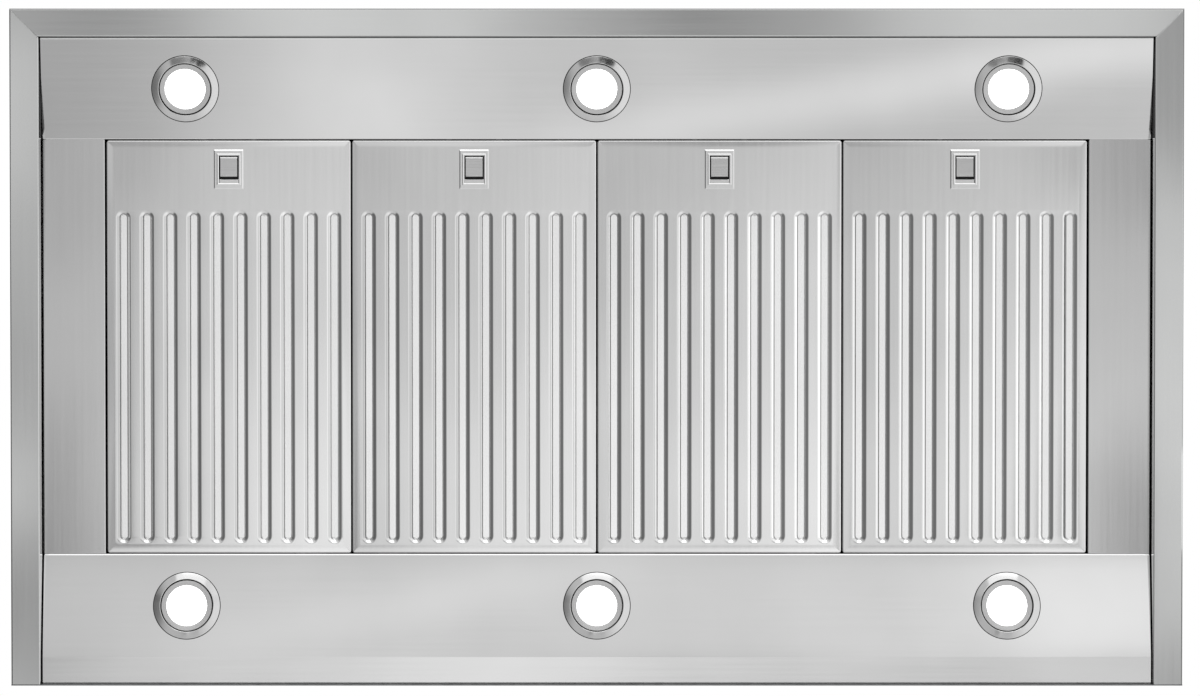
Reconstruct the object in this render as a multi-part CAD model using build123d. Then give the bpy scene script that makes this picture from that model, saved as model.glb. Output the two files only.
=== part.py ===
from build123d import *
import os
from math import atan2, cos, degrees, hypot, pi, radians, sin, sqrt

# Outdoor range hood for a wall, seen from below in use. All sizes are in millimetres.
# X runs along the wall, -Y points from the wall into the room, and Z points up.
# The origin is on the wall plane, at the middle of the hood's width, level with its bottom rim.

# Outer shell
hood_width = 1216.0
hood_depth = 702.0
hood_height = 457.0
apron_height = 110.0
top_depth = 330.0
shell_sheet = 1.2
shell_bend = 2.4
rim_width_front = 29.2
rim_width_side = 28.2
rim_lip_height = 18.0
lap_width = 20.0
seam = 0.05
flange_inset = 4.0

# Underside panels
panel_sheet = 1.0
panel_bend = 2.0
hem_length = 9.0
filter_level = 26.0
front_panel_level = 2.5
front_panel_gap = 1.2
front_panel_play = 2.7
rear_panel_play = 4.5
filler_play = 2.9
bay_side_margin = 94.5
bay_front_margin = 134.7
bay_rear = 135.4
strip_depth = 28.7
strip_level = 11.0
panel_shelf = 24.0
panel_upstand = 10.0
filler_shelf = 38.0
filler_upstand = 12.0
filler_rise = 14.0
panel_gap = 0.4

# Filters
filter_count = 4
filter_gap = 0.9
filter_side_gap = 2.3
filter_sheet = 0.9
filter_height = 17.0
filter_bend = 2.6
filter_front_gap = 1.4
filter_rear_gap = 1.1
slot_count = 10
slot_opening = 7.6
slot_flare = 3.9
slot_end_sides = 8
slot_side_margin = 11.6
slot_front_margin = 72.0
slot_rear_margin = 9.2
baffle_level = 10.0
baffle_lip = 5.0
baffle_cap = 16.0
baffle_margin = 6.0
tongue_width = 30.0
tongue_length = 12.0
tongue_spacing = 170.0
tongue_clearance = 0.15

# Filter latches
latch_setback = 30.7
bezel_width = 31.8
bezel_length = 42.7
bezel_proud = 0.9
bezel_opening_width = 23.0
bezel_opening_length = 30.7
latch_wall = 1.0
latch_roof = 9.0
latch_play = 0.3
latch_travel = 5.0
latch_bite = 3.5
latch_plate = 1.2
latch_arm = 15.0
pad_width = 16.7
pad_length = 18.8
pad_inset = 2.9
pad_recess = 0.4
pad_lip = 1.2
tie_bar_depth = 5.0
tie_bar_gap = 1.0
latch_tongue_width = 5.2
latch_tongue_spacing = 52.0

# Lights
light_side_margin = 180.7
light_trim_radius = 35.0
light_trim_height = 2.2
light_bevel = 1.6
light_can_radius = 30.0
light_can_sides = 12
light_can_depth = 24.0
light_hole_play = 0.6
lens_radius = 21.0
lens_thickness = 1.8
lens_play = 0.2

# Blower
blower_axis_back = 238.0
blower_axis_height = 250.0
blower_sheet = 1.0
blower_width = 230.0
cutoff_radius = 132.0
scroll_growth = 22.0
throat_inner = 2.0
inlet_radius = 94.0
wheel_radius = 120.0
wheel_width = 212.0
blade_count = 20
blade_depth = 20.0
blade_thickness = 1.2
blade_angle = 35.0
wheel_ring = 4.0
wheel_disc = 2.0
wheel_disc_radius = 104.0
hub_radius = 14.0
hub_length = 30.0
motor_radius = 45.0
motor_sides = 12
motor_outside = 30.0
motor_inside = 70.0
motor_arm_width = 18.0
motor_arm_sheet = 3.0
motor_arm_reach = 108.0
motor_arm_count = 3
shaft_radius = 6.0
shaft_play = 0.05
shaft_depth = 20.0

# Duct collar and damper
duct_radius = 100.8
duct_sheet = 0.8
duct_height = 80.0
duct_flange = 14.0
duct_opening_play = 3.0
damper_level = 38.0
damper_rod_radius = 2.0
damper_rod_offset = 2.6
damper_rod_play = 0.05
damper_rod_setback = 0.3
damper_sheet = 1.0
damper_play = 1.2
damper_stop = 7.0
damper_seat = 0.2

# Controls in the apron
button_count = 5
button_pitch = 34.0
button_width = 22.0
button_height = 12.0
button_play = 0.2
button_level = 62.0
button_depth = 9.0
button_stem_width = 8.0
button_stem_length = 8.0
switch_width = 190.0
switch_depth = 34.0
switch_height = 40.0
switch_recess = 6.0
switch_well = 8.0

# Electrical inlet
box_width = 110.0
box_depth = 70.0
box_height = 48.0
box_sheet = 1.2
box_side = 350.0
box_back = 130.0
cable_hole_radius = 11.0

# Fastenings
wall_hole_radius = 4.0
wall_hole_span = 812.8
wall_hole_rise = 304.8
wall_hole_low = 90.0
screw_head = 4.0
screw_head_height = 2.4

# Places worked out from the sizes above
half_width = hood_width / 2
shell_top = hood_height - shell_sheet
skin_half = half_width - shell_sheet
apron_back = -hood_depth + shell_sheet
back_face = -shell_sheet
lip_face = -hood_depth + rim_width_front
rim_half = half_width - rim_width_side
front_panel_half = rim_half - front_panel_play
rear_panel_half = rim_half - rear_panel_play
filler_half = rim_half - filler_play
bay_half = half_width - bay_side_margin
bay_front = hood_depth - bay_front_margin
front_panel_edge = lip_face + front_panel_gap
filter_pitch = 2 * (bay_half - filter_side_gap) / filter_count
filter_width = filter_pitch - filter_gap
slot_pitch = (filter_pitch - slot_side_margin) / slot_count
light_spacing = half_width - light_side_margin
filter_front = -bay_front + filter_front_gap
filter_rear = -bay_rear - filter_rear_gap
filter_middle = (filter_front + filter_rear) / 2
filter_length = filter_rear - filter_front
filter_top = filter_level + filter_height
filter_places = [(i - (filter_count - 1) / 2) * filter_pitch for i in range(filter_count)]
slot_places = [(i - (slot_count - 1) / 2) * slot_pitch for i in range(slot_count)]
slot_length = filter_length - slot_front_margin - slot_rear_margin
slot_middle = (filter_front + slot_front_margin + filter_rear - slot_rear_margin) / 2
lip_offset = filter_sheet * sqrt(2)
hem_top = filter_level + 2 * panel_sheet
latch_middle = filter_front + latch_setback
latch_level = hem_top + latch_play
pad_front = latch_middle - bezel_opening_length / 2 + pad_inset
pad_rear = pad_front + pad_length
tie_bar_front = filter_front + filter_sheet + tie_bar_gap
button_places = [(i - (button_count - 1) / 2) * button_pitch for i in range(button_count)]
light_places = (-light_spacing, 0.0, light_spacing)
throat_outer = cutoff_radius + 3 * scroll_growth
duct_middle = -blower_axis_back + (throat_inner + throat_outer) / 2
inner_duct_radius = duct_radius - duct_sheet
damper_height = hood_height + damper_level
opening_radius = inner_duct_radius - duct_opening_play


def block(x_span, y_span, z_span):
    """Rectangular solid between two X, two Y and two Z values."""
    x0, x1 = sorted(x_span)
    y0, y1 = sorted(y_span)
    z0, z1 = sorted(z_span)
    return Pos((x0 + x1) / 2, (y0 + y1) / 2, (z0 + z1) / 2) * Box(x1 - x0, y1 - y0, z1 - z0)


def folded_section(points, sheet, bend, side):
    """Section of a folded sheet: the points run along its outer face, with a radius at each fold."""
    outer = FilletPolyline(*points, radius=bend)
    return make_face(offset(outer, sheet, side=side).edges())


def along_x(section, half_length):
    """Extrudes a section drawn in (Y, Z) along X, both ways from the middle."""
    return extrude(Plane.YZ * section, amount=half_length, both=True)


def along_y(section, y_front, y_rear):
    """Extrudes a section drawn in (X, Z) along Y."""
    plane = Plane((0, y_front, 0), x_dir=(1, 0, 0), z_dir=(0, -1, 0))
    return extrude(plane * section, amount=y_front - y_rear)


def upright(section, z_low, z_high):
    """Extrudes a section drawn in (X, Y) upwards."""
    return extrude(Pos(0, 0, z_low) * section, amount=z_high - z_low, dir=(0, 0, 1))


def disc_x(radius, x_low, x_high):
    """Cylinder about the blower's axis between two X values."""
    middle = Pos((x_low + x_high) / 2, -blower_axis_back, blower_axis_height)
    return middle * Rot(0, 90, 0) * Cylinder(radius, x_high - x_low)


def prism_x(radius, sides, x_low, x_high):
    """Prism with the given number of flats about the blower's axis between two X values."""
    place = Pos(x_low, -blower_axis_back, blower_axis_height) * Rot(0, 90, 0)
    return place * extrude(RegularPolygon(radius, sides), amount=x_high - x_low)


def mirrored(part):
    """The same piece for the other side of the hood."""
    return mirror(part, about=Plane.YZ)


def canopy_outline(inset):
    """Side outline of the canopy in (Y, Z), set in where the front panel covers its edge."""
    run = hood_depth - top_depth
    rise = shell_top - apron_height
    slope = hypot(run, rise)
    knee = inset * (slope - rise) / run
    drop = inset * slope / run
    return Polygon(
        (-hood_depth + inset, -rim_lip_height),
        (-hood_depth + inset, apron_height - knee),
        (-top_depth, shell_top - drop),
        (0, shell_top - drop),
        (0, -rim_lip_height),
        align=None,
    )


def mitre_wedge(x_side, y_side):
    """Upright wedge on one side of the rim's 45 degree mitre, at the right-hand front corner."""
    reach = rim_width_front + rim_lip_height
    corner = (skin_half, apron_back)
    inner = (skin_half - reach, apron_back + reach)
    plan = Polygon(corner, inner, (x_side, y_side), align=None)
    return upright(plan, -rim_lip_height, rim_lip_height + flange_inset)


def front_panel():
    section = folded_section(
        [
            (lip_face, rim_lip_height),
            (lip_face, 0),
            (-hood_depth, 0),
            (-hood_depth, apron_height),
            (-top_depth, shell_top),
            (-top_depth + lap_width, shell_top),
        ],
        shell_sheet, shell_bend, Side.RIGHT,
    )
    panel = along_x(section, half_width)
    reach = rim_width_front + rim_lip_height
    wedge = mitre_wedge(skin_half, apron_back + reach)
    wedge += block((skin_half, half_width + 1), (apron_back, apron_back + reach),
                   (-rim_lip_height, rim_lip_height + flange_inset))
    panel -= wedge + mirrored(wedge)
    window = Box(button_width + 2 * button_play, lap_width, button_height + 2 * button_play)
    for x in button_places:
        panel -= Pos(x, apron_back, button_level) * window
    return panel


def side_panel():
    """Right-hand side panel, with its bottom flange, top flange and rear flange."""
    section = folded_section(
        [
            (rim_half, rim_lip_height),
            (rim_half, 0),
            (half_width, 0),
            (half_width, shell_top),
            (half_width - lap_width, shell_top),
        ],
        shell_sheet, shell_bend, Side.LEFT,
    )
    skin = along_y(section, apron_back, back_face)
    outline = along_x(canopy_outline(shell_sheet + seam), half_width + 1)
    flange_zone = block(
        (0, half_width + 1), (-top_depth + lap_width + flange_inset, -lap_width - flange_inset),
        (shell_top - 2 * shell_bend, shell_top),
    )
    skin = (skin & outline) + (skin & flange_zone)
    reach = rim_width_front + rim_lip_height
    skin -= mitre_wedge(skin_half - reach, apron_back)
    rear_flange = block(
        (skin_half - lap_width, skin_half), (back_face - shell_sheet, back_face),
        (rim_lip_height + flange_inset, shell_top - lap_width),
    )
    return skin + rear_flange


def back_panel():
    section = folded_section([(0, 0), (0, shell_top), (-lap_width, shell_top)], shell_sheet, shell_bend, Side.LEFT)
    panel = along_x(section, half_width)
    corner = block((half_width - lap_width - flange_inset, half_width + 1), (-lap_width - 1, back_face),
                   (shell_top - 2 * shell_bend, shell_top + 1))
    panel -= corner + mirrored(corner)
    for x in (-wall_hole_span / 2, wall_hole_span / 2):
        for z in (wall_hole_low, wall_hole_low + wall_hole_rise):
            panel -= Pos(x, 0, z) * Rot(90, 0, 0) * Cylinder(wall_hole_radius, lap_width)
    return panel


def top_panel():
    panel = block((-half_width, half_width), (-top_depth + shell_bend, 0), (shell_top, hood_height))
    panel -= Pos(0, duct_middle, hood_height) * Cylinder(opening_radius, lap_width)
    panel -= Pos(box_side, -box_back, hood_height) * Cylinder(cable_hole_radius, lap_width)
    return panel


def hemmed_panel(path, half_length, above):
    """Folded panel whose last edge is folded back on its upper side; above is the side it lies on, 1 or -1."""
    side = Side.LEFT if above > 0 else Side.RIGHT
    panel = along_x(folded_section(path, panel_sheet, panel_bend, side), half_length)
    hem = Pos(0, above * panel_sheet) * Circle(panel_sheet)
    hem += Pos(-hem_length / 2, above * panel_sheet) * Rectangle(hem_length, 2 * panel_sheet)
    (y0, z0), (y1, z1) = path[-2:]
    lean = degrees(atan2(z1 - z0, y1 - y0))
    return panel + along_x(Pos(y1, z1) * Rot(0, 0, lean) * hem, half_length)


def hem_centre(path):
    """Centre of a hem's round nose in (Y, Z)."""
    (y0, z0), (y1, z1) = path[-2:]
    run = hypot(y1 - y0, z1 - z0)
    return y1 + panel_sheet * abs(z1 - z0) / run * (1 if z1 > z0 and y1 < y0 else -1), z1 + panel_sheet * abs(y1 - y0) / run


front_path = [
    (apron_back, panel_shelf + panel_upstand),
    (apron_back, panel_shelf),
    (front_panel_edge, panel_shelf),
    (front_panel_edge, front_panel_level),
    (-bay_front - panel_sheet, filter_level),
]
rear_path = [
    (back_face, panel_upstand + panel_shelf),
    (back_face, strip_level),
    (-strip_depth, strip_level),
    (-bay_rear + panel_sheet, filter_level),
]


def panel_slope(path):
    """Rise of a light panel towards the filters, in degrees."""
    (y0, z0), (y1, z1) = path[-2:]
    return degrees(atan2(z1 - z0, abs(y1 - y0)))


def light_frames(path, spread):
    """Places of the lights of one row: on the slope's middle, square to it."""
    (y0, z0), (y1, z1) = path[-2:]
    lean = panel_slope(path) * (1 if y1 > y0 else -1)
    return [Pos(x, (y0 + y1) / 2, (z0 + z1) / 2) * Rot(lean, 0, 0) for x in spread]


def light_panel(path, half_length, above):
    panel = hemmed_panel(path, half_length, above)
    hole = extrude(RegularPolygon(light_can_radius + light_hole_play, light_can_sides), amount=lap_width, both=True)
    for place in light_frames(path, light_places):
        panel -= place * hole
    return panel


def filler_panel():
    """Right-hand filler between the filters and the side, carried on the side panel."""
    section = folded_section(
        [
            (skin_half, filler_shelf + filler_upstand),
            (skin_half, filler_shelf),
            (filler_half, filler_shelf),
            (filler_half, filter_level),
            (bay_half, filter_level),
            (bay_half, filter_level + filler_rise),
        ],
        panel_sheet, panel_bend, Side.RIGHT,
    )
    return along_y(section, -bay_front + panel_gap, -bay_rear - panel_gap)


def light_housing():
    """One light's body about its own axis, its trim on the panel's lower face."""
    face = -light_trim_height
    section = Polygon(
        (0, lens_thickness + face),
        (lens_radius + lens_play, lens_thickness + face),
        (lens_radius + lens_play, face),
        (light_trim_radius - light_bevel, face),
        (light_trim_radius, 0),
        (0, 0),
        align=None,
    )
    trim = revolve(Plane.XZ * section, Axis.Z)
    return trim + extrude(RegularPolygon(light_can_radius, light_can_sides), amount=light_can_depth)


def light_lens():
    return Pos(0, 0, lens_thickness / 2 - light_trim_height) * Cylinder(lens_radius, lens_thickness)


def slot_outline(width):
    """Outline of one slot in (X, Y), its ends rounded in short flats so that the filters stay light."""
    corner_radius = width / 2 / cos(pi / slot_end_sides)
    reach = (slot_length - width) / 2
    points = []
    for i in range(slot_end_sides):
        turn = (2 * i + 1) * pi / slot_end_sides
        side = 1 if turn < pi else -1
        points.append((corner_radius * cos(turn), corner_radius * sin(turn) + side * reach))
    return Polygon(*points, align=None)


def filter_pan():
    """Slotted pan of one filter, centred on X = 0."""
    half = filter_width / 2
    outer = block((-half, half), (filter_front, filter_rear), (filter_level, filter_top))
    outer = fillet(outer.edges().filter_by(Axis.X).group_by(Axis.Z)[0], filter_bend)
    hollow = block(
        (filter_sheet - half, half - filter_sheet),
        (filter_front + filter_sheet, filter_rear - filter_sheet),
        (filter_level + filter_sheet, filter_top + 1),
    )
    hollow = fillet(hollow.edges().filter_by(Axis.X).group_by(Axis.Z)[0], filter_bend - filter_sheet)
    pan = outer - hollow
    mouth_width = slot_opening + 2 * slot_flare
    lip_foot = Rectangle(mouth_width + 2 * lip_offset, slot_length + 2 * lip_offset)
    lip = extrude(lip_foot, amount=slot_flare, taper=45)
    mouth = extrude(slot_outline(mouth_width), amount=slot_flare + seam, taper=45)
    places = [Pos(x, slot_middle, filter_level) for x in slot_places]
    pan += [place * lip for place in places]
    pan -= [place * mouth for place in places]
    window = block(
        (-bezel_opening_width / 2 - latch_wall - seam, bezel_opening_width / 2 + latch_wall + seam),
        (latch_middle - bezel_opening_length / 2 - latch_wall - seam,
         latch_middle + bezel_opening_length / 2 + latch_wall + seam),
        (filter_level - 1, filter_level + slot_flare),
    )
    pan -= window
    half_slit = latch_tongue_width / 2 + latch_play
    for x in (-latch_tongue_spacing / 2, latch_tongue_spacing / 2):
        pan -= block((x - half_slit, x + half_slit), (filter_front - 1, filter_front + filter_sheet + latch_play),
                     (latch_level - latch_play, latch_level + latch_plate + latch_play))
    return pan + rear_tongues()


def rear_tongues():
    """Two tongues that lie over the rear panel's hem and carry the filter's rear edge."""
    foot = hinge_height + panel_sheet + tongue_clearance
    tongues = []
    for x in (-tongue_spacing / 2, tongue_spacing / 2):
        tongues.append(
            block((x - tongue_width / 2, x + tongue_width / 2),
                  (filter_rear - filter_sheet / 2, filter_rear + tongue_length), (foot, foot + filter_sheet))
        )
    return tongues


def filter_baffles():
    """Upper baffle sheet of one filter: a cap with downturned lips over each slot."""
    half = filter_width / 2 - filter_sheet
    low = filter_level + baffle_level
    front = slot_middle - slot_length / 2 - baffle_margin
    rear = filter_rear - filter_sheet
    sheet = block((-half, half), (front, rear), (low, low + filter_sheet))
    window_width = slot_pitch - baffle_cap
    window_length = slot_length - 2 * baffle_margin
    window = Box(window_width, window_length, 4 * filter_sheet)
    gaps = [(a + b) / 2 for a, b in zip(slot_places, slot_places[1:])]
    sheet -= [Pos(x, slot_middle, low) * window for x in gaps]
    lip = Box(filter_sheet, window_length, baffle_lip)
    for x in slot_places:
        for side in (-1, 1):
            edge = x + side * (baffle_cap - filter_sheet) / 2
            sheet += Pos(edge, slot_middle, low - baffle_lip / 2) * lip
    for side in (-1, 1):
        wall = block((side * half, side * (half - filter_sheet)), (front, rear), (low, filter_top))
        sheet += wall
    return sheet


def latch_housing():
    """Bezel round the finger opening, with the closed cup that guides the slider."""
    wide = bezel_opening_width / 2
    long = bezel_opening_length / 2
    housing = block((-bezel_width / 2, bezel_width / 2), (-bezel_length / 2, bezel_length / 2),
                    (-bezel_proud, 0))
    housing += block((-wide - latch_wall, wide + latch_wall), (-long - latch_wall, long + latch_wall),
                     (0, latch_roof + latch_wall))
    housing -= block((-wide, wide), (-long, long), (-2 * bezel_proud, latch_roof))
    level = latch_level - filter_level
    arm = latch_arm / 2 + latch_play
    housing -= block((-arm, arm), (-long - 2 * latch_wall, -long + latch_wall),
                     (level - latch_play, level + latch_plate + latch_play))
    return Pos(0, latch_middle, filter_level) * housing


def latch_slider():
    """Thumb pad, arm and tie bar in one piece, with two tongues that reach over the front panel's hem."""
    top = latch_level + latch_plate
    pad = block((-pad_width / 2, pad_width / 2), (pad_front, pad_rear), (filter_level + pad_recess, top))
    pad += block((-pad_width / 2, pad_width / 2), (pad_rear - pad_lip, pad_rear),
                 (filter_level - bezel_proud / 2, top))
    arm = block((-latch_arm / 2, latch_arm / 2), (tie_bar_front, pad_front + pad_lip), (latch_level, top))
    reach = latch_tongue_spacing / 2 + latch_tongue_width / 2
    bar = block((-reach, reach), (tie_bar_front, tie_bar_front + tie_bar_depth), (latch_level, top))
    slider = pad + arm + bar
    for x in (-latch_tongue_spacing / 2, latch_tongue_spacing / 2):
        slider += block((x - latch_tongue_width / 2, x + latch_tongue_width / 2),
                        (-bay_front - latch_bite, tie_bar_front + pad_lip), (latch_level, top))
    return slider


def scroll_face(inset):
    """Spiral outline of the blower in (Y, Z), set in by the sheet for the inside."""
    r0, r1, r2, r3 = (cutoff_radius + i * scroll_growth - inset for i in range(4))
    y, z = -blower_axis_back, blower_axis_height
    top = shell_top + (lap_width if inset else 0)

    def quarter(a, b, start):
        middle = (a + b) / 2
        angles = (start, start + 45, start + 90)
        return [(y + r * cos(radians(t)), z + r * sin(radians(t))) for r, t in zip((a, middle, b), angles)]

    cutoff = quarter(r0, r1, 90)
    front = ThreePointArc(*cutoff)
    bottom = ThreePointArc(*quarter(r1, r2, 180))
    rear = ThreePointArc(*quarter(r2, r3, 270))
    throat = Polyline((y + r3, z), (y + r3, top), (y + throat_inner + inset, top), (y + throat_inner + inset, z + r0),
                      cutoff[0])
    return make_face((front + bottom + rear + throat).edges())


def blower_housing():
    housing = along_x(scroll_face(0), blower_width / 2)
    housing -= along_x(scroll_face(blower_sheet), blower_width / 2 - blower_sheet)
    housing -= prism_x(inlet_radius, blade_count, -blower_width, blower_width)
    return housing


def blower_motor():
    """Motor in the left-hand inlet, on three arms that lie against the housing."""
    plate = -blower_width / 2
    motor = prism_x(motor_radius, motor_sides, plate - motor_outside, plate + motor_inside)
    centre = Pos(0, -blower_axis_back, blower_axis_height)
    for i in range(motor_arm_count):
        turn = centre * Rot(90 + i * 360 / motor_arm_count, 0, 0)
        motor += turn * block((plate - motor_arm_sheet, plate), (0, motor_arm_reach),
                              (-motor_arm_width / 2, motor_arm_width / 2))
    nose = plate + motor_inside
    return motor - disc_x(shaft_radius + shaft_play, nose - shaft_depth, nose + 1)


def motor_shaft():
    nose = -blower_width / 2 + motor_inside
    return disc_x(shaft_radius, nose - shaft_depth + 1, hub_length / 2)


def blower_wheel():
    """Double wheel: a middle disc with its hub, forward-curved blades and two end rings."""
    half = wheel_width / 2
    wheel = prism_x(wheel_disc_radius, blade_count, -wheel_disc / 2, wheel_disc / 2)
    wheel += disc_x(hub_radius, -hub_length / 2, hub_length / 2)
    for side in (-1, 1):
        ring = prism_x(wheel_radius, blade_count, half - wheel_ring, half)
        ring -= prism_x(wheel_radius - blade_depth, blade_count, 0, half + 1)
        wheel += ring if side > 0 else mirrored(ring)
    blade = Box(wheel_width - wheel_ring, blade_depth / cos(radians(blade_angle)) - 2 * blade_thickness, blade_thickness)
    centre = Pos(0, -blower_axis_back, blower_axis_height)
    for i in range(blade_count):
        turn = Rot(i * 360 / blade_count, 0, 0) * Pos(0, wheel_radius - blade_depth / 2, 0) * Rot(blade_angle, 0, 0)
        wheel += centre * turn * blade
    return wheel - disc_x(shaft_radius + shaft_play, -half, half)


def duct_collar():
    """Round collar on a square flange, with stops for the flaps and square holes for their rods."""
    centre = Pos(0, duct_middle, hood_height)
    collar = centre * Pos(0, 0, duct_height / 2) * Cylinder(duct_radius, duct_height)
    flange = 2 * (duct_radius + duct_flange)
    collar += centre * Pos(0, 0, duct_sheet / 2) * Box(flange, flange, duct_sheet)
    collar -= centre * Cylinder(inner_duct_radius, 3 * duct_height)
    stop_top = damper_level - damper_sheet / 2 - damper_seat
    for side in (-1, 1):
        collar += centre * block((-damper_stop / 2, damper_stop / 2),
                                 (side * (inner_duct_radius - damper_stop), side * (inner_duct_radius + duct_sheet / 2)),
                                 (stop_top - damper_sheet, stop_top))
    rod_hole = Box(4 * duct_radius, 2 * (damper_rod_radius + damper_rod_play), 2 * (damper_rod_radius + damper_rod_play))
    for side in (-1, 1):
        collar -= Pos(0, duct_middle + side * damper_rod_offset, damper_height) * rod_hole
    return collar


def damper_flap(side):
    """Half-round flap on its rod: side is 1 for the flap nearer the wall, -1 for the other."""
    rod_y = duct_middle + side * damper_rod_offset
    rod_length = 2 * (duct_radius - damper_rod_setback)
    flap = Pos(0, rod_y, damper_height) * Rot(0, 90, 0) * Cylinder(damper_rod_radius, rod_length)
    leaf = Pos(0, duct_middle, damper_height) * Cylinder(inner_duct_radius - damper_play, damper_sheet)
    reach = (rod_y, rod_y + side * duct_radius)
    leaf &= block((-duct_radius, duct_radius), reach, (hood_height, damper_height + damper_level))
    return flap + leaf


def push_button():
    """Rectangular push button, flush with the apron, centred on X = 0."""
    cap_back = -hood_depth + button_depth
    cap = Pos(0, (cap_back - hood_depth) / 2, button_level) * Box(button_width, button_depth, button_height)
    stem = Box(button_stem_width, button_stem_length, button_stem_width)
    return cap + Pos(0, cap_back + button_stem_length / 2, button_level) * stem


def switch_housing():
    """Switch housing behind the apron, open in front, with a well for each button."""
    front, rear = apron_back, apron_back + switch_depth
    z_span = (button_level - switch_height / 2, button_level + switch_height / 2)
    housing = block((-switch_width / 2, switch_width / 2), (front, rear), z_span)
    wall = 2.0
    housing -= block((wall - switch_width / 2, switch_width / 2 - wall), (front - 1, front + switch_recess),
                     (z_span[0] + wall, z_span[1] - wall))
    for x in button_places:
        well = block((x - button_width / 2 - button_play, x + button_width / 2 + button_play),
                     (front, front + switch_recess + switch_well),
                     (button_level - button_height / 2 - button_play, button_level + button_height / 2 + button_play))
        bore = block((x - button_stem_width / 2 - button_play, x + button_stem_width / 2 + button_play),
                     (front, rear - wall),
                     (button_level - button_stem_width / 2 - button_play, button_level + button_stem_width / 2 + button_play))
        housing -= well + bore
    return housing


def junction_box():
    outer = block((-box_width / 2, box_width / 2), (-box_depth / 2, box_depth / 2), (-box_height, 0))
    inner = block((box_sheet - box_width / 2, box_width / 2 - box_sheet),
                  (box_sheet - box_depth / 2, box_depth / 2 - box_sheet), (-2 * box_height, -box_sheet))
    box = outer - inner - Cylinder(cable_hole_radius, 4 * box_sheet)
    return Pos(box_side, -box_back, shell_top) * box


def junction_box_cover():
    lid = block((-box_width / 2, box_width / 2), (-box_depth / 2, box_depth / 2), (-box_sheet, 0))
    return Pos(box_side, -box_back, shell_top - box_height) * lid


def collar_screws():
    """Hexagon heads on the collar's flange."""
    head = extrude(RegularPolygon(screw_head, 6), amount=screw_head_height)
    reach = duct_radius
    seat = hood_height + duct_sheet
    return [Pos(x, duct_middle + y, seat) * head for x in (-reach, reach) for y in (-reach, reach)]


def save(node, pieces):
    """Writes one node, of one piece or of several."""
    if isinstance(pieces, list):
        pieces = Compound(children=pieces) if len(pieces) > 1 else pieces[0]
    export_step(pieces, f"parts/{node}.step")


hinge_back, hinge_height = hem_centre(rear_path)
os.makedirs("parts", exist_ok=True)

save("front_panel", front_panel())
right_side = side_panel()
save("side_panel_right", right_side)
save("side_panel_left", mirrored(right_side))
save("back_panel", back_panel())
save("top_panel", top_panel())
save("front_light_panel", light_panel(front_path, front_panel_half, 1))
save("rear_light_panel", light_panel(rear_path, rear_panel_half, -1))
right_filler = filler_panel()
save("filler_panel_right", right_filler)
save("filler_panel_left", mirrored(right_filler))

for row, path in (("front", front_path), ("rear", rear_path)):
    frames = light_frames(path, light_places)
    save(f"{row}_light_housings", [frame * light_housing() for frame in frames])
    save(f"{row}_light_lenses", [frame * light_lens() for frame in frames])

filter_parts = {
    "filter_pan": filter_pan(),
    "filter_baffles": filter_baffles(),
    "latch_housing": latch_housing(),
    "latch_slider": latch_slider(),
}
for number, x in enumerate(filter_places, start=1):
    for name, piece in filter_parts.items():
        save(f"{name}_{number}", Pos(x, 0, 0) * piece)

save("blower_housing", blower_housing())
save("blower_motor", blower_motor())
save("motor_shaft", motor_shaft())
save("blower_wheel", blower_wheel())
save("duct_collar", duct_collar())
save("damper_flap_front", damper_flap(-1))
save("damper_flap_rear", damper_flap(1))
save("collar_screws", collar_screws())

for number, x in enumerate(button_places, start=1):
    save(f"push_button_{number}", Pos(x, 0, 0) * push_button())
save("switch_housing", switch_housing())
save("junction_box", junction_box())
save("junction_box_cover", junction_box_cover())

print("filter hinge", round(hinge_back, 3), round(hinge_height, 3))
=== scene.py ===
"""Outdoor range hood for a wall, seen from below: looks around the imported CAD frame."""

import logging
import math
from collections.abc import Iterable
from dataclasses import dataclass, field
from enum import Enum
from typing import TypeVar

import bmesh
import bpy
from mathutils import Matrix, Vector

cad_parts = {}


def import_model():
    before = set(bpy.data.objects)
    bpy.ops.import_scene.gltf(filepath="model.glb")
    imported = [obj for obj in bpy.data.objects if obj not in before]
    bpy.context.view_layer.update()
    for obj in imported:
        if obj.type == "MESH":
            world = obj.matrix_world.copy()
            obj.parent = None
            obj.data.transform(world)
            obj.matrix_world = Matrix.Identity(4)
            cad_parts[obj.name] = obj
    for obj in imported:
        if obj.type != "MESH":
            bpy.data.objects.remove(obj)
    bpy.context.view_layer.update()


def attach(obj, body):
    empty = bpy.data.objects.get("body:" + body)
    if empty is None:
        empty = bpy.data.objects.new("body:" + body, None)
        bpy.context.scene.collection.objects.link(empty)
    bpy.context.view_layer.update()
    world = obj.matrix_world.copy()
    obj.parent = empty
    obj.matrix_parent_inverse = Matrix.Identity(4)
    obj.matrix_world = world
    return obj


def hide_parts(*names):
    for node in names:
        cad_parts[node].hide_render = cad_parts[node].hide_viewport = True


MM = 0.001
NEAR = 0.001
log = logging.getLogger("range_hood")

Span = tuple[float, float]
Size = tuple[float, float, float]
Path = list[Span]
Tones = tuple[Span, ...]
Socket = bpy.types.NodeSocket
Edges = list[bmesh.types.BMEdge]
Part = TypeVar("Part")


class Grain(Enum):
    """Direction that a sheet was brushed in."""

    ALONG_WALL = (0.02, 1.0, 1.0)
    FROM_WALL = (1.0, 0.02, 1.0)
    UPRIGHT = (1.0, 1.0, 0.02)
    NONE = (1.0, 1.0, 1.0)


class Run(Enum):
    """Direction that a folded sheet's section is drawn out in."""

    ALONG_WALL = "x"
    FROM_WALL = "y"

    def point(self, u: float, v: float, along: float) -> Size:
        """Point at u, v in the section and at the given distance along the run, in millimetres."""
        if self is Run.ALONG_WALL:
            return (along * MM, u * MM, v * MM)
        return (u * MM, along * MM, v * MM)


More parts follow.
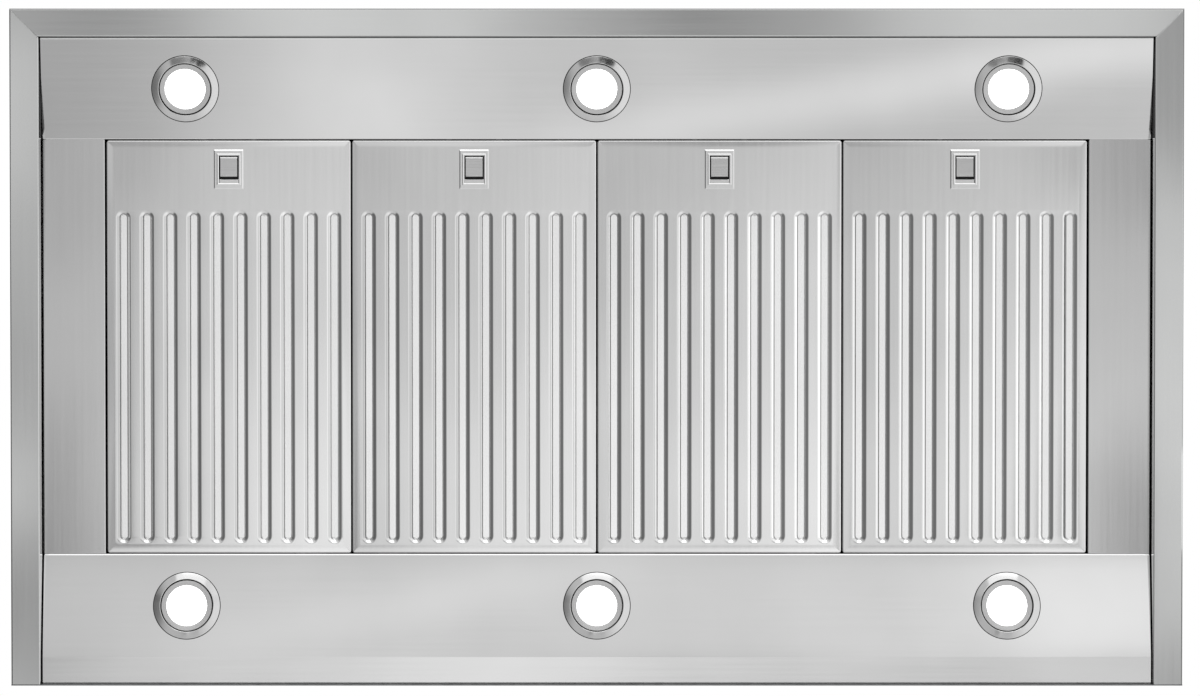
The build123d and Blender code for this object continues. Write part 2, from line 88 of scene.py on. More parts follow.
@dataclass(frozen=True)
class Bench:
    """Adds and joins the nodes of one tree."""

    tree: bpy.types.NodeTree

    def add(self, kind: str, **values: object) -> bpy.types.Node:
        """Adds a node and sets its properties.

        Args:
            kind: Blender's name of the node type, without its first word.
            **values: properties of the node.

        Returns:
            The new node.
        """
        node = self.tree.nodes.new("ShaderNode" + kind)
        for key, value in values.items():
            setattr(node, key, value)
        return node

    def join(self, start: Socket, end: Socket) -> None:
        """Joins two sockets."""
        self.tree.links.new(start, end)

    def math(self, operation: str, first: Socket, second: Socket | float) -> Socket:
        """Works out a value from two.

        Args:
            operation: Blender's name of the sum.
            first: the first value.
            second: the second value, or a constant.

        Returns:
            The result.
        """
        node = self.add("Math", operation=operation)
        self.join(first, node.inputs[0])
        if isinstance(second, float):
            node.inputs[1].default_value = second
        else:
            self.join(second, node.inputs[1])
        return node.outputs[0]

    def remap(self, value: Socket, source: Span = (0.0, 1.0), target: Span = (0.0, 1.0),
              kind: str = "LINEAR") -> Socket:
        """Maps a value from one range to another, held at its ends.

        Args:
            value: the value.
            source: ends of its range.
            target: the results at these ends.
            kind: Blender's name of the curve between them.

        Returns:
            The mapped value.
        """
        node = self.add("MapRange", interpolation_type=kind)
        for name, number in zip(("From Min", "From Max", "To Min", "To Max"), (*source, *target)):
            node.inputs[name].default_value = number
        self.join(value, node.inputs["Value"])
        return node.outputs["Result"]


@dataclass(frozen=True)
class Shader(Bench):
    """The nodes of one material, round its Principled shader."""

    material: bpy.types.Material

    @classmethod
    def new(cls, name: str) -> "Shader":
        """Starts a node material.

        Args:
            name: name of the material.

        Returns:
            Its nodes.
        """
        material = bpy.data.materials.new(name)
        material.use_nodes = True
        return cls(material.node_tree, material)

    def to_surface(self, start: Socket, name: str) -> None:
        """Joins a socket to an input of the Principled shader."""
        self.join(start, self.tree.nodes["Principled BSDF"].inputs[name])

    def put(self, **values: object) -> None:
        """Sets constant values on the Principled shader's own sockets."""
        for key, value in values.items():
            self.tree.nodes["Principled BSDF"].inputs[key.replace("_", " ")].default_value = value

    def noise(self, coords: Socket, scale: Size, detail: float = 2.0) -> Socket:
        """Noise over the given coordinates.

        Args:
            coords: the coordinates.
            scale: spots per unit along each of their axes.
            detail: octaves of the noise.

        Returns:
            The noise's value.
        """
        mapping = self.add("Mapping")
        mapping.inputs["Scale"].default_value = scale
        noise = self.add("TexNoise")
        noise.inputs["Scale"].default_value = 1.0
        noise.inputs["Detail"].default_value = detail
        self.join(coords, mapping.inputs["Vector"])
        self.join(mapping.outputs["Vector"], noise.inputs["Vector"])
        return noise.outputs["Fac"]

    def grain(self, grain: Grain, frequency: float, detail: float = 2.0) -> Socket:
        """Noise on Object coordinates, stretched along the grain.

        Args:
            grain: direction of the grain.
            frequency: spots per metre across the grain.
            detail: octaves of the noise.

        Returns:
            The noise's value.
        """
        coords = self.add("TexCoord").outputs["Object"]
        return self.noise(coords, [share * frequency for share in grain.value], detail)

    def spread(self, value: Socket, low: float, high: float) -> Socket:
        """Maps a noise value, which hardly leaves its middle, to a range from low to high."""
        return self.remap(value, (0.3, 0.7), (low, high))

    def roughen(self, value: Socket, roughness: float, change: float) -> None:
        """Lets the roughness change with a noise value, by up to the given change."""
        self.to_surface(self.spread(value, roughness - change, roughness + change), "Roughness")

    def relief(self, height: Socket, strength: float, distance: float = 0.00002) -> None:
        """Adds a fine relief.

        Args:
            height: its height, from 0 to 1.
            strength: how much of it shows.
            distance: its real height, in metres.
        """
        bump = self.add("Bump")
        bump.inputs["Strength"].default_value = strength
        bump.inputs["Distance"].default_value = distance
        self.join(height, bump.inputs["Height"])
        self.to_surface(bump.outputs["Normal"], "Normal")


@dataclass(frozen=True)
class BrushedSteel:
    """Stainless sheet with fine parallel brushing, faint cloudiness and, where asked, a painted sheen across the piece.
    """

    name: str
    tone: Size
    grain: Grain
    roughness: float = 0.3
    streak: float = 0.05
    cloud: float = 0.04
    bumps: float = 0.08
    fine: float = 1500.0
    coarse: float = 260.0
    # Share by which the tone falls on one side of a piece and rises on the other: a painted sheen standing in for a
    # change in reflection across it.
    painted_sheen: float = 0.0

    def build(self) -> bpy.types.Material:
        """Builds the finish.

        Returns:
            The material.
        """
        shader = Shader.new(self.name)
        coarse = shader.grain(self.grain, self.coarse)
        cloud = shader.grain(Grain.NONE, 6.0, 3.0)
        streaks = shader.spread(coarse, -self.streak, self.streak)
        total = shader.math("ADD", streaks, shader.spread(cloud, -self.cloud, self.cloud))
        tint = shader.add("HueSaturation")
        tint.inputs["Color"].default_value = (*self.tone, 1.0)
        # Painted sheen: the tone ramp across the piece, or 1 where there is none.
        middle = self.painted_sheen_ramp(shader) if self.painted_sheen else 1.0
        shader.join(shader.math("ADD", total, middle), tint.inputs["Value"])
        shader.to_surface(tint.outputs["Color"], "Base Color")
        shader.roughen(coarse, self.roughness, 0.07 * self.roughness)
        shader.relief(shader.grain(self.grain, self.fine), self.bumps)
        shader.put(Metallic=1.0)
        return shader.material

    def painted_sheen_ramp(self, shader: Shader) -> Socket:
        """The painted sheen across a piece: its tone ramps up from one side to the other, standing in for a change in
        reflection.
        """
        across = shader.add("SeparateXYZ")
        shader.join(shader.add("UVMap", uv_map=Piece.ACROSS).outputs["UV"], across.inputs["Vector"])
        return shader.remap(across.outputs["X"], target=(1.0 - self.painted_sheen, 1.0 + self.painted_sheen))


@dataclass(frozen=True)
class TurnedMetal:
    """Metal turned on a lathe, its fine rings running round the piece's own UV map."""

    name: str
    tone: Size
    roughness: float = 0.28
    direction: float = 0.75

    def build(self) -> bpy.types.Material:
        """Builds the finish.

        Returns:
            The material.
        """
        shader = Shader.new(self.name)
        uv = shader.add("UVMap", uv_map=Piece.UV).outputs["UV"]
        rings = shader.noise(uv, (3.0, 900.0, 1.0))
        tangent = shader.add("Tangent", direction_type="UV_MAP", uv_map=Piece.UV)
        shader.to_surface(tangent.outputs["Tangent"], "Tangent")
        shader.roughen(rings, self.roughness, 0.04)
        shader.relief(rings, 0.15)
        shader.put(Base_Color=(*self.tone, 1.0), Metallic=1.0, Anisotropic=self.direction)
        shader.put(Anisotropic_Rotation=0.25)
        return shader.material


@dataclass(frozen=True)
class SpangledZinc:
    """Zinc-coated sheet with faint spangles."""

    name: str
    tone: float = 0.5
    roughness: float = 0.42

    def build(self) -> bpy.types.Material:
        """Builds the finish.

        Returns:
            The material.
        """
        shader = Shader.new(self.name)
        cells = shader.add("TexVoronoi")
        cells.inputs["Scale"].default_value = 110.0
        shader.join(shader.add("TexCoord").outputs["Object"], cells.inputs["Vector"])
        shares = shader.add("SeparateColor")
        shader.join(cells.outputs["Color"], shares.inputs["Color"])
        ramp = shader.add("ValToRGB")
        for stop, tint in zip(ramp.color_ramp.elements, ((0.86, 0.88, 0.90), (1.10, 1.12, 1.14))):
            stop.color = (*(self.tone * share for share in tint), 1.0)
        shader.join(shares.outputs["Red"], ramp.inputs["Fac"])
        shader.to_surface(ramp.outputs["Color"], "Base Color")
        shader.roughen(shares.outputs["Green"], self.roughness, 0.06)
        shader.put(Metallic=1.0)
        return shader.material


@dataclass(frozen=True)
class Moulded:
    """Moulded or painted surface with a fine, even grain."""

    name: str
    tone: Size
    roughness: float = 0.5
    metallic: float = 0.0
    bumps: float = 0.2
    glow: float = 0.0

    def build(self) -> bpy.types.Material:
        """Builds the finish.

        Returns:
            The material.
        """
        shader = Shader.new(self.name)
        grain = shader.grain(Grain.NONE, 700.0, 3.0)
        shader.roughen(grain, self.roughness, 0.06)
        shader.relief(grain, self.bumps, 0.00005)
        shader.put(Base_Color=(*self.tone, 1.0), Metallic=self.metallic)
        if self.glow:
            shader.put(Emission_Color=(1.0, 1.0, 1.0, 1.0), Emission_Strength=self.glow)
        return shader.material


def grey(tone: float) -> Size:
    """A neutral colour of the given tone."""
    return (tone, tone, tone)


@dataclass(frozen=True)
class Finishes:
    """Every finish of the hood, built once."""

    rim: bpy.types.Material
    side: bpy.types.Material
    panel: bpy.types.Material
    filler: bpy.types.Material
    filter: bpy.types.Material
    baffle: bpy.types.Material
    latch: bpy.types.Material
    pad: bpy.types.Material
    tongue: bpy.types.Material
    ring: bpy.types.Material
    land: bpy.types.Material
    shadow_seal: bpy.types.Material
    lens: bpy.types.Material
    zinc: bpy.types.Material
    back: bpy.types.Material
    motor: bpy.types.Material
    plastic: bpy.types.Material
    key: bpy.types.Material
    screw: bpy.types.Material

    @classmethod
    def build(cls) -> "Finishes":
        """Builds the finishes.

        Returns:
            The set of materials.
        """
        along, out = Grain.ALONG_WALL, Grain.FROM_WALL
        shell = (0.60, 0.605, 0.602)
        looks = dict(
            rim=BrushedSteel("shell_steel_along", shell, along, roughness=0.075, streak=0.012),
            side=BrushedSteel("shell_steel_out", shell, out, roughness=0.075, streak=0.012),
            panel=BrushedSteel("light_panel_steel", grey(0.74), along, roughness=0.08, streak=0.008),
            filler=BrushedSteel("filler_steel", grey(0.60), out, roughness=0.08, streak=0.01),
            # The filter steel paints a sheen: each filter's tone ramps from 13 % darker to 13 % lighter across it.
            filter=BrushedSteel("filter_steel", grey(0.68), out, roughness=0.10, streak=0.015, painted_sheen=0.13),
            # The baffles are painted far lighter than the pans of the same steel: a painted highlight, so that the
            # strip seen through each slot reads bright.
            baffle=BrushedSteel("baffle_steel_painted_highlight", grey(0.95), out, roughness=0.2, streak=0.02),
            latch=BrushedSteel("latch_metal", grey(0.72), out, roughness=0.22, streak=0.02),
            pad=BrushedSteel("pad_steel", grey(0.56), along, roughness=0.2, streak=0.05, coarse=900.0),
            # Near-black tongues: painted shade, so that where they cross the gaps they read as the shadow there.
            tongue=Moulded("tongue_steel_painted_shade", grey(0.10), roughness=0.45, metallic=1.0),
            ring=TurnedMetal("turned_trim", grey(0.58), roughness=0.13, direction=0.6),
            land=TurnedMetal("lamp_face", grey(0.66), roughness=0.5, direction=0.3),
            # Near-black seals: painted shadow lines in the gaps round each light's trim and beside the front light
            # panel.
            shadow_seal=Moulded("shadow_seal_black", grey(0.012), roughness=0.7),
            lens=Moulded("frosted_lens", (0.95, 0.95, 0.94), roughness=0.4, bumps=0.05, glow=2.5),
            zinc=SpangledZinc("zinc_sheet"),
            back=SpangledZinc("back_sheet", 0.18),
            motor=Moulded("motor_paint", (0.035, 0.037, 0.04), roughness=0.45),
            # Black plastic for the switch housing; on the latch cups the same near-black is painted shade in their
            # pockets.
            plastic=Moulded("switch_plastic", (0.03, 0.03, 0.032), roughness=0.5),
            key=Moulded("key_metal", (0.45, 0.45, 0.46), roughness=0.32, metallic=1.0, bumps=0.05),
            screw=Moulded("screw_metal", (0.62, 0.62, 0.63), roughness=0.25, metallic=1.0, bumps=0.05),
        )
        return cls(**{name: look.build() for name, look in looks.items()})


def once(parts: Iterable[Part]) -> list[Part]:
    """Parts of a mesh, each once and in the order in which they first come."""
    return list(dict.fromkeys(parts))


@dataclass
class Piece:
    """One mesh under construction, in metres in the hood's frame."""

    UV = "turned"
    ACROSS = "across"

    name: str
    bm: bmesh.types.BMesh = field(default_factory=bmesh.new)

    def loop(self, points: list[Size], closed: bool = False) -> Edges:
        """Adds a chain of edges.

        Args:
            points: its corners, in metres.
            closed: whether the last corner joins the first.

        Returns:
            The new edges.
        """
        verts = [self.bm.verts.new(p) for p in points]
        pairs = list(zip(verts, verts[1:])) + ([(verts[-1], verts[0])] if closed else [])
        return [self.bm.edges.new(pair) for pair in pairs]

    def draw_out(self, edges: Edges, move: Vector) -> Edges:
        """Draws edges out into faces.

        Args:
            edges: the edges.
            move: how far, in metres.

        Returns:
            The edges at the far end.
        """
        made = bmesh.ops.extrude_edge_only(self.bm, edges=edges)["geom"]
        verts = [g for g in made if isinstance(g, bmesh.types.BMVert)]
        bmesh.ops.translate(self.bm, verts=verts, vec=move)
        return [g for g in made if isinstance(g, bmesh.types.BMEdge)]

    def round_edges(self, edges: Edges, radius: float, segments: int = 3) -> None:
        """Rounds edges to a radius in millimetres."""
        bmesh.ops.bevel(
            self.bm, geom=edges, offset=radius * MM, offset_type="OFFSET", segments=segments,
            profile=0.5, affect="EDGES", material=-1, clamp_overlap=True,
        )

    def under(self, level: float, axis: str = "z") -> Edges:
        """The edges that lie wholly under a level in millimetres, or before it along another axis."""
        return [e for e in self.bm.edges if max(getattr(v.co, axis) for v in e.verts) < level * MM]

    def folds(self) -> Edges:
        """The edges where two faces of a sheet meet at an angle."""
        return [e for e in self.bm.edges if len(e.link_faces) == 2 and e.calc_face_angle(0.0) > 0.05]

    def split(self, faces: list[bmesh.types.BMFace], point: Size, normal: Size) -> None:
        """Splits faces along a plane.

        Args:
            faces: the faces.
            point: a point of the plane, in millimetres.
            normal: its normal.
        """
        geom = [*faces, *once(part for face in faces for part in (*face.edges, *face.verts))]
        bmesh.ops.bisect_plane(self.bm, geom=geom, dist=1e-7, plane_co=Vector(point) * MM, plane_no=Vector(normal))

    def cut(self, point: Size, normal: Size, below: float = 1e9, above: float = -1e9) -> None:
        """Cuts away what lies in front of a plane.

        Args:
            point: a point of the plane, in millimetres.
            normal: its normal, on the side that goes.
            below: only faces whose middle is lower than this are cut, in millimetres.
            above: only faces whose middle is higher than this are cut, in millimetres.
        """
        self.split(self.between(above, below), point, normal)
        start, side = Vector(point) * MM, Vector(normal).normalized()
        gone = [f for f in self.between(above, below) if (f.calc_center_median() - start).dot(side) > 1e-6]
        bmesh.ops.delete(self.bm, geom=gone, context="FACES")

    def between(self, low: float, high: float) -> list[bmesh.types.BMFace]:
        """The faces whose middles lie between two levels, in millimetres."""
        return [f for f in self.bm.faces if low * MM < f.calc_center_median().z < high * MM]

    def thicken(self, sheet: float) -> None:
        """Gives a sheet its thickness, in millimetres, inwards of its faces."""
        bmesh.ops.remove_doubles(self.bm, verts=self.bm.verts, dist=1e-6)
        self.bm.normal_update()
        bmesh.ops.solidify(self.bm, geom=self.bm.faces[:], thickness=sheet * MM)
        self.bm.normal_update()

    def ease(self, radius: float, segments: int = 2, sharp: float = 1.2) -> None:
        """Breaks every sharp edge.

        Args:
            radius: radius of the broken edge, in millimetres.
            segments: faces across it.
            sharp: angle from which an edge counts as sharp, in radians.
        """
        edges = [e for e in self.bm.edges if len(e.link_faces) == 2 and e.calc_face_angle(0.0) > sharp]
        self.round_edges(edges, radius, segments)

    def block(self, low: Size, high: Size, radius: float = 0.3) -> None:
        """Adds a block with eased edges.

        Args:
            low: its lowest corner, in millimetres.
            high: its highest corner, in millimetres.
            radius: radius of its edges, in millimetres.
        """
        size = (Vector(high) - Vector(low)) * MM
        middle = (Vector(high) + Vector(low)) / 2 * MM
        place = Matrix.Translation(middle) @ Matrix.Diagonal((*size, 1.0))
        made = bmesh.ops.create_cube(self.bm, size=1.0, matrix=place)["verts"]
        if radius:
            self.round_edges(once(e for v in made for e in v.link_edges), radius, 2)

    def finish(self, material: bpy.types.Material, body: str, slot: str, *replaces: str,
               angle: float = 40.0, faces_up: bool = True) -> bpy.types.Object:
        """Makes the object and hands it to the frame.

        Args:
            material: its finish.
            body: the CAD body that it rides on.
            slot: its material slot in the record; not used.
            *replaces: the CAD nodes that it stands for.
            angle: edges sharper than this stay crisp, in degrees.
            faces_up: whether the normals are worked out afresh.

        Returns:
            The object.
        """
        bmesh.ops.remove_doubles(self.bm, verts=self.bm.verts, dist=1e-7)
        if faces_up:
            bmesh.ops.recalc_face_normals(self.bm, faces=self.bm.faces[:])
        mesh = bpy.data.meshes.new(self.name)
        self.bm.to_mesh(mesh)
        self.bm.free()
        mesh.shade_smooth()
        mesh.set_sharp_from_angle(angle=math.radians(angle))
        mesh.materials.append(material)
        thing = bpy.data.objects.new(self.name, mesh)
        bpy.context.scene.collection.objects.link(thing)
        flat = thing.modifiers.new("flat_faces_stay_flat", "WEIGHTED_NORMAL")
        flat.weight = 100
        flat.keep_sharp = True
        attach(thing, body)
        if replaces:
            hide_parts(*replaces)
        log.info("%s: %d faces", self.name, len(mesh.polygons))
        return thing


def folded_sheet(piece: Piece, path: Path, run: Run, start: float, end: float, bend: float) -> None:
    """Draws out a folded sheet's outer face, with rounded folds.

    Args:
        piece: the piece that gets it.
        path: corners of the section's outer face, in millimetres.
        run: direction that the section is drawn out in.
        start: where it starts, in millimetres.
        end: where it ends, in millimetres.
        bend: outer radius of the folds, in millimetres.
    """
    edges = piece.loop([run.point(u, v, start) for u, v in path])
    piece.draw_out(edges, Vector(run.point(0, 0, end - start)))
    bmesh.ops.recalc_face_normals(piece.bm, faces=piece.bm.faces[:])
    if bend:
        piece.round_edges(piece.folds(), bend, 5)


def bowed(start: Span, end: Span, crown: float, steps: int = 12) -> Path:
    """Points of a slightly bowed stretch of a section, without its first point.

    Args:
        start: where it starts, in millimetres.
        end: where it ends, in millimetres.
        crown: how far its middle stands out, in millimetres, positive for lower.
        steps: stretches of the bow.

    Returns:
        The points from the first after the start to the end.
    """
    run = Vector(end) - Vector(start)
    out = Vector((run.y, -run.x)).normalized()
    out = out if out.y < 0 else -out
    points = []
    for i in range(1, steps + 1):
        t = i / steps
        points.append(tuple(Vector(start) + run * t + out * 4 * crown * t * (1 - t)))
    return points


def flip(piece: Piece) -> None:
    """Turns a sheet's faces round, so that its thickness goes to the other side."""
    bmesh.ops.reverse_faces(piece.bm, faces=piece.bm.faces[:])


def hand(side: int) -> str:
    """The word for a side, 1 being the right and -1 the left."""
    return "right" if side > 0 else "left"


@dataclass
class Shell:
    """The canopy: front panel, side panels, back panel and top panel. Sizes are in millimetres."""

    finishes: Finishes
    half: float = 608.0
    depth: float = 702.0
    apron: float = 110.0
    top_depth: float = 330.0
    top: float = 455.8
    sheet: float = 1.2
    bend: float = 2.4
    edge_bend: float = 1.3
    lip_bend: float = 1.3
    mitre_ease: float = 1.1
    rim_front: float = 29.2
    rim_side: float = 30.2
    rim_lean: float = 0.3
    lip: float = 18.0
    lap: float = 20.0
    slope_gap: float = 0.1
    key_places: tuple[float, ...] = (-68.0, -34.0, 0.0, 34.0, 68.0)
    key_level: float = 62.0
    key_window: Span = (22.4, 12.4)

    def front(self) -> None:
        """Builds the front panel: lip, rim, apron, slope and lap in one folded sheet."""
        piece = Piece("front_panel_sheet")
        lip_face = -self.depth + self.rim_front
        path = [
            (lip_face, self.lip), (lip_face, 0.0), (-self.depth, self.rim_lean), (-self.depth, self.apron),
            (-self.top_depth, self.top), (-self.top_depth + self.lap, self.top),
        ]
        folded_sheet(piece, path, Run.ALONG_WALL, -self.half, self.half, 0.0)
        self.round_folds(piece)
        for side in (-1, 1):
            corner = (side * self.half, -self.depth, 0.0)
            piece.cut(corner, (side, 1.0, 0.0), below=self.lip + 1.0)
        self.face_out(piece, Vector((0.0, -1.0, 0.3)))
        self.key_windows(piece)
        piece.thicken(self.sheet)
        self.ease_mitres(piece)
        piece.finish(self.finishes.rim, "hood", "shell_steel", "front_panel")

    def round_folds(self, piece: Piece) -> None:
        """Rounds a skin's folds: the lip's, those above the rim, and the rim's outer edge."""
        lip = [e for e in piece.folds() if e.verts[0].co.z < 0.1 * MM]
        rest = [e for e in piece.folds() if e.verts[0].co.z > MM]
        piece.round_edges(lip, self.lip_bend, 4)
        piece.round_edges(rest, self.bend, 5)
        rim = [e for e in piece.folds() if max(abs(v.co.z / MM - self.rim_lean) for v in e.verts) < 0.01]
        piece.round_edges(rim, self.edge_bend, 1)

    def key_windows(self, piece: Piece) -> None:
        """Cuts the push buttons' openings in the apron: a row first, then its windows."""
        wide, high = (size / 2 for size in self.key_window)
        for side in (-1, 1):
            piece.split(self.apron_faces(piece, self.apron), (0.0, 0.0, self.key_level + side * high), (0.0, 0.0, 1.0))
        for x in self.key_places:
            for side in (-1, 1):
                piece.split(self.apron_faces(piece, high), (x + side * wide, 0.0, 0.0), (1.0, 0.0, 0.0))
        gone = [
            face for face in self.apron_faces(piece, high)
            if any(abs(face.calc_center_median().x / MM - x) < wide for x in self.key_places)
        ]
        bmesh.ops.delete(piece.bm, geom=gone, context="FACES")

    def apron_faces(self, piece: Piece, reach: float) -> list[bmesh.types.BMFace]:
        """The faces of the apron whose middles lie no farther than reach from the push buttons' level."""
        piece.bm.normal_update()
        faces = []
        for face in piece.bm.faces:
            middle = face.calc_center_median() / MM
            upright = abs(face.normal.y) > 0.999 and middle.y < 0.1 - self.depth
            if upright and abs(middle.z - self.key_level) < reach:
                faces.append(face)
        return faces

    def ease_mitres(self, piece: Piece) -> None:
        """Breaks a sheet's edges, those along the rim's mitres more than the others."""
        mitre = []
        for edge in piece.bm.edges:
            flat = max(v.co.z for v in edge.verts) < 0.4 * MM
            off = max(abs((self.half - abs(v.co.x) / MM) - (v.co.y / MM + self.depth)) for v in edge.verts)
            if flat and off < 0.05 and edge.calc_length() > 10 * MM:
                mitre.append(edge)
        piece.round_edges(mitre, self.mitre_ease, 2)
        piece.ease(0.3)

    @staticmethod
    def face_out(piece: Piece, way: Vector) -> None:
        """Turns the sheet so that its largest face looks out the given way."""
        largest = max(piece.bm.faces, key=lambda f: f.calc_area())
        largest.normal_update()
        if largest.normal.dot(way) < 0:
            flip(piece)

    def side(self, side: int) -> None:
        """Builds a side panel.

        Args:
            side: 1 for the right, -1 for the left.
        """
        piece = Piece("side_panel_sheet_" + hand(side))
        inner = self.half - self.rim_side
        path = [
            (side * inner, self.lip), (side * inner, 0.0), (side * self.half, self.rim_lean),
            (side * self.half, self.top), (side * (self.half - self.lap), self.top),
        ]
        front = -self.depth + self.sheet
        folded_sheet(piece, path, Run.FROM_WALL, front, -self.sheet, 0.0)
        self.round_folds(piece)
        run, rise = self.depth - self.top_depth, self.top - self.apron
        drop = (self.sheet + self.slope_gap) * math.hypot(run, rise) / run
        knee, above = (0.0, -self.top_depth, self.top - drop), self.lip + 3.0
        piece.cut(knee, (0.0, -rise, run), above=above)
        piece.cut(knee, (0.0, 0.0, 1.0), above=above, below=self.top - 1.0)
        piece.cut((side * self.half, -self.depth, 0.0), (-side, -1.0, 0.0), below=self.lip + 1.0)
        self.face_out(piece, Vector((side, 0.0, 0.0)))
        piece.thicken(self.sheet)
        self.ease_mitres(piece)
        piece.finish(self.finishes.side, "hood", "shell_steel", "side_panel_" + hand(side))

    def build(self) -> None:
        """Builds the canopy."""
        self.front()
        for side in (-1, 1):
            self.side(side)
        dress("back_panel", self.finishes.back)
        dress("top_panel", self.finishes.rim)


def dress(node: str, material: bpy.types.Material) -> None:
    """Gives a CAD node its finish.

    Args:
        node: name of the node.
        material: the finish.
    """
    thing = bpy.data.objects[node]
    thing.data.materials.clear()
    thing.data.materials.append(material)


@dataclass
class Underside:
    """Light panels and fillers round the filters. Sizes are in millimetres."""

    finishes: Finishes
    sheet: float = 1.0
    bend: float = 2.0
    hem: float = 9.0
    crown: float = 0.6
    front_half: float = 576.2
    rear_half: float = 576.7
    front_path: Path = field(default_factory=lambda: [
        (-700.8, 34.0), (-700.8, 24.0), (-672.1, 24.0), (-672.1, 3.05), (-670.7, 2.5), (-568.3, 26.0)])
    nose_reach: float = 0.9
    front_flare: float = 0.9
    front_nose: Span = (0.9, 0.08)
    rear_nose: Span = (1.5, 0.55)
    # Where the near-black painted-shadow strip beside the front light panel stands, along the wall and in height.
    shadow_seal: Span = (577.45, 577.75)
    shadow_seal_rise: Span = (4.0, 17.5)
    rear_path: Path = field(default_factory=lambda: [
        (-1.5, 34.0), (-1.5, 11.0), (-28.7, 11.0), (-134.4, 26.0)])
    filler_path: Path = field(default_factory=lambda: [
        (606.8, 50.0), (606.8, 38.0), (577.4, 38.0), (577.4, 26.0), (512.3, 26.0), (512.3, 40.0)])
    filler_span: Span = (-567.4, -135.3)

    def light_panel(self, name: str, path: Path, half: float, edge: Span,
                    flare: float = 0.0) -> None:
        """Builds a light panel with its hemmed edge.

        Args:
            name: the CAD node that it stands for.
            path: its section.
            half: half of its length.
            edge: length and rise of the slope at its hemmed edge.
            flare: how much longer it is, to each side, at its hemmed edge.
        """
        run, rise = edge
        piece = Piece(name + "_sheet")
        before, last = Vector(path[-2]), Vector(path[-1])
        way = (last - before).normalized()
        up = Vector((-way.y, way.x)) if way.x > 0 else Vector((way.y, -way.x))
        tip = last + way * self.nose_reach
        knee, nose = tip - way * run, tip + up * rise
        back = tip + up * 2 * self.sheet
        full = [*path[:-1], *bowed(path[-2], tuple(knee), self.crown), tuple(nose), tuple(back),
                tuple(back - way * self.hem)]
        folded_sheet(piece, full, Run.ALONG_WALL, -half, half, 0.0)
        radii = ((nose, 0.3), (back, 0.5), (knee, 0.2), (Vector(path[-2]), 0.25), (Vector(path[-3]), 0.25))
        for point, radius in radii:
            piece.round_edges([e for e in piece.folds() if self.near(e, point)], radius, 3)
        rest = [e for e in piece.folds() if e.calc_length() > half * MM and e.calc_face_angle() > 1.2]
        piece.round_edges(rest, self.bend, 4)
        if flare:
            y0, y1 = path[-2][0] * MM, path[-1][0] * MM
            for vert in piece.bm.verts:
                share = min(max((vert.co.y - y0) / (y1 - y0), 0.0), 1.0)
                vert.co.x *= 1.0 + flare * share / half
        Shell.face_out(piece, Vector((0.0, 0.0, -1.0)))
        piece.thicken(0.6 * self.sheet)
        piece.ease(0.25)
        piece.finish(self.finishes.panel, "hood", "underside_steel", name)

    @staticmethod
    def near(edge: bmesh.types.BMEdge, point: Vector) -> bool:
        """Whether an edge along the wall runs through a point of the section."""
        at = Vector((edge.verts[0].co.y, edge.verts[0].co.z)) / MM
        end = Vector((edge.verts[1].co.y, edge.verts[1].co.z)) / MM
        return (at - point).length < 0.1 and (end - point).length < 0.1

    def filler(self, side: int) -> None:
        """Builds a filler panel.

        Args:
            side: 1 for the right, -1 for the left.
        """
        name = "filler_panel_" + hand(side)
        piece = Piece(name + "_sheet")
        path = [(side * u, v) for u, v in self.filler_path]
        folded_sheet(piece, path, Run.FROM_WALL, *self.filler_span, self.bend * 0.6)
        Shell.face_out(piece, Vector((0.0, 0.0, -1.0)))
        piece.thicken(0.8 * self.sheet)
        piece.ease(0.7)
        piece.finish(self.finishes.filler, "hood", "underside_steel", name)

    def side_shadow_seal(self, side: int) -> None:
        """Builds the thin near-black strip between the front light panel and a side panel's lip: a painted shadow in
        the gap there.

        Args:
            side: 1 for the right, -1 for the left.
        """
        piece = Piece("front_panel_seal_" + hand(side))
        ends = sorted(side * edge for edge in self.shadow_seal)
        low, high = self.shadow_seal_rise
        piece.block((ends[0], self.front_path[-3][0], low), (ends[1], self.front_path[-1][0], high), 0.1)
        piece.finish(self.finishes.shadow_seal, "hood", "underside_steel")

    def build(self) -> None:
        """Builds the underside."""
        self.light_panel(
            "front_light_panel", self.front_path, self.front_half, self.front_nose, self.front_flare)
        self.light_panel("rear_light_panel", self.rear_path, self.rear_half, self.rear_nose)
        for side in (-1, 1):
            self.filler(side)
            self.side_shadow_seal(side)


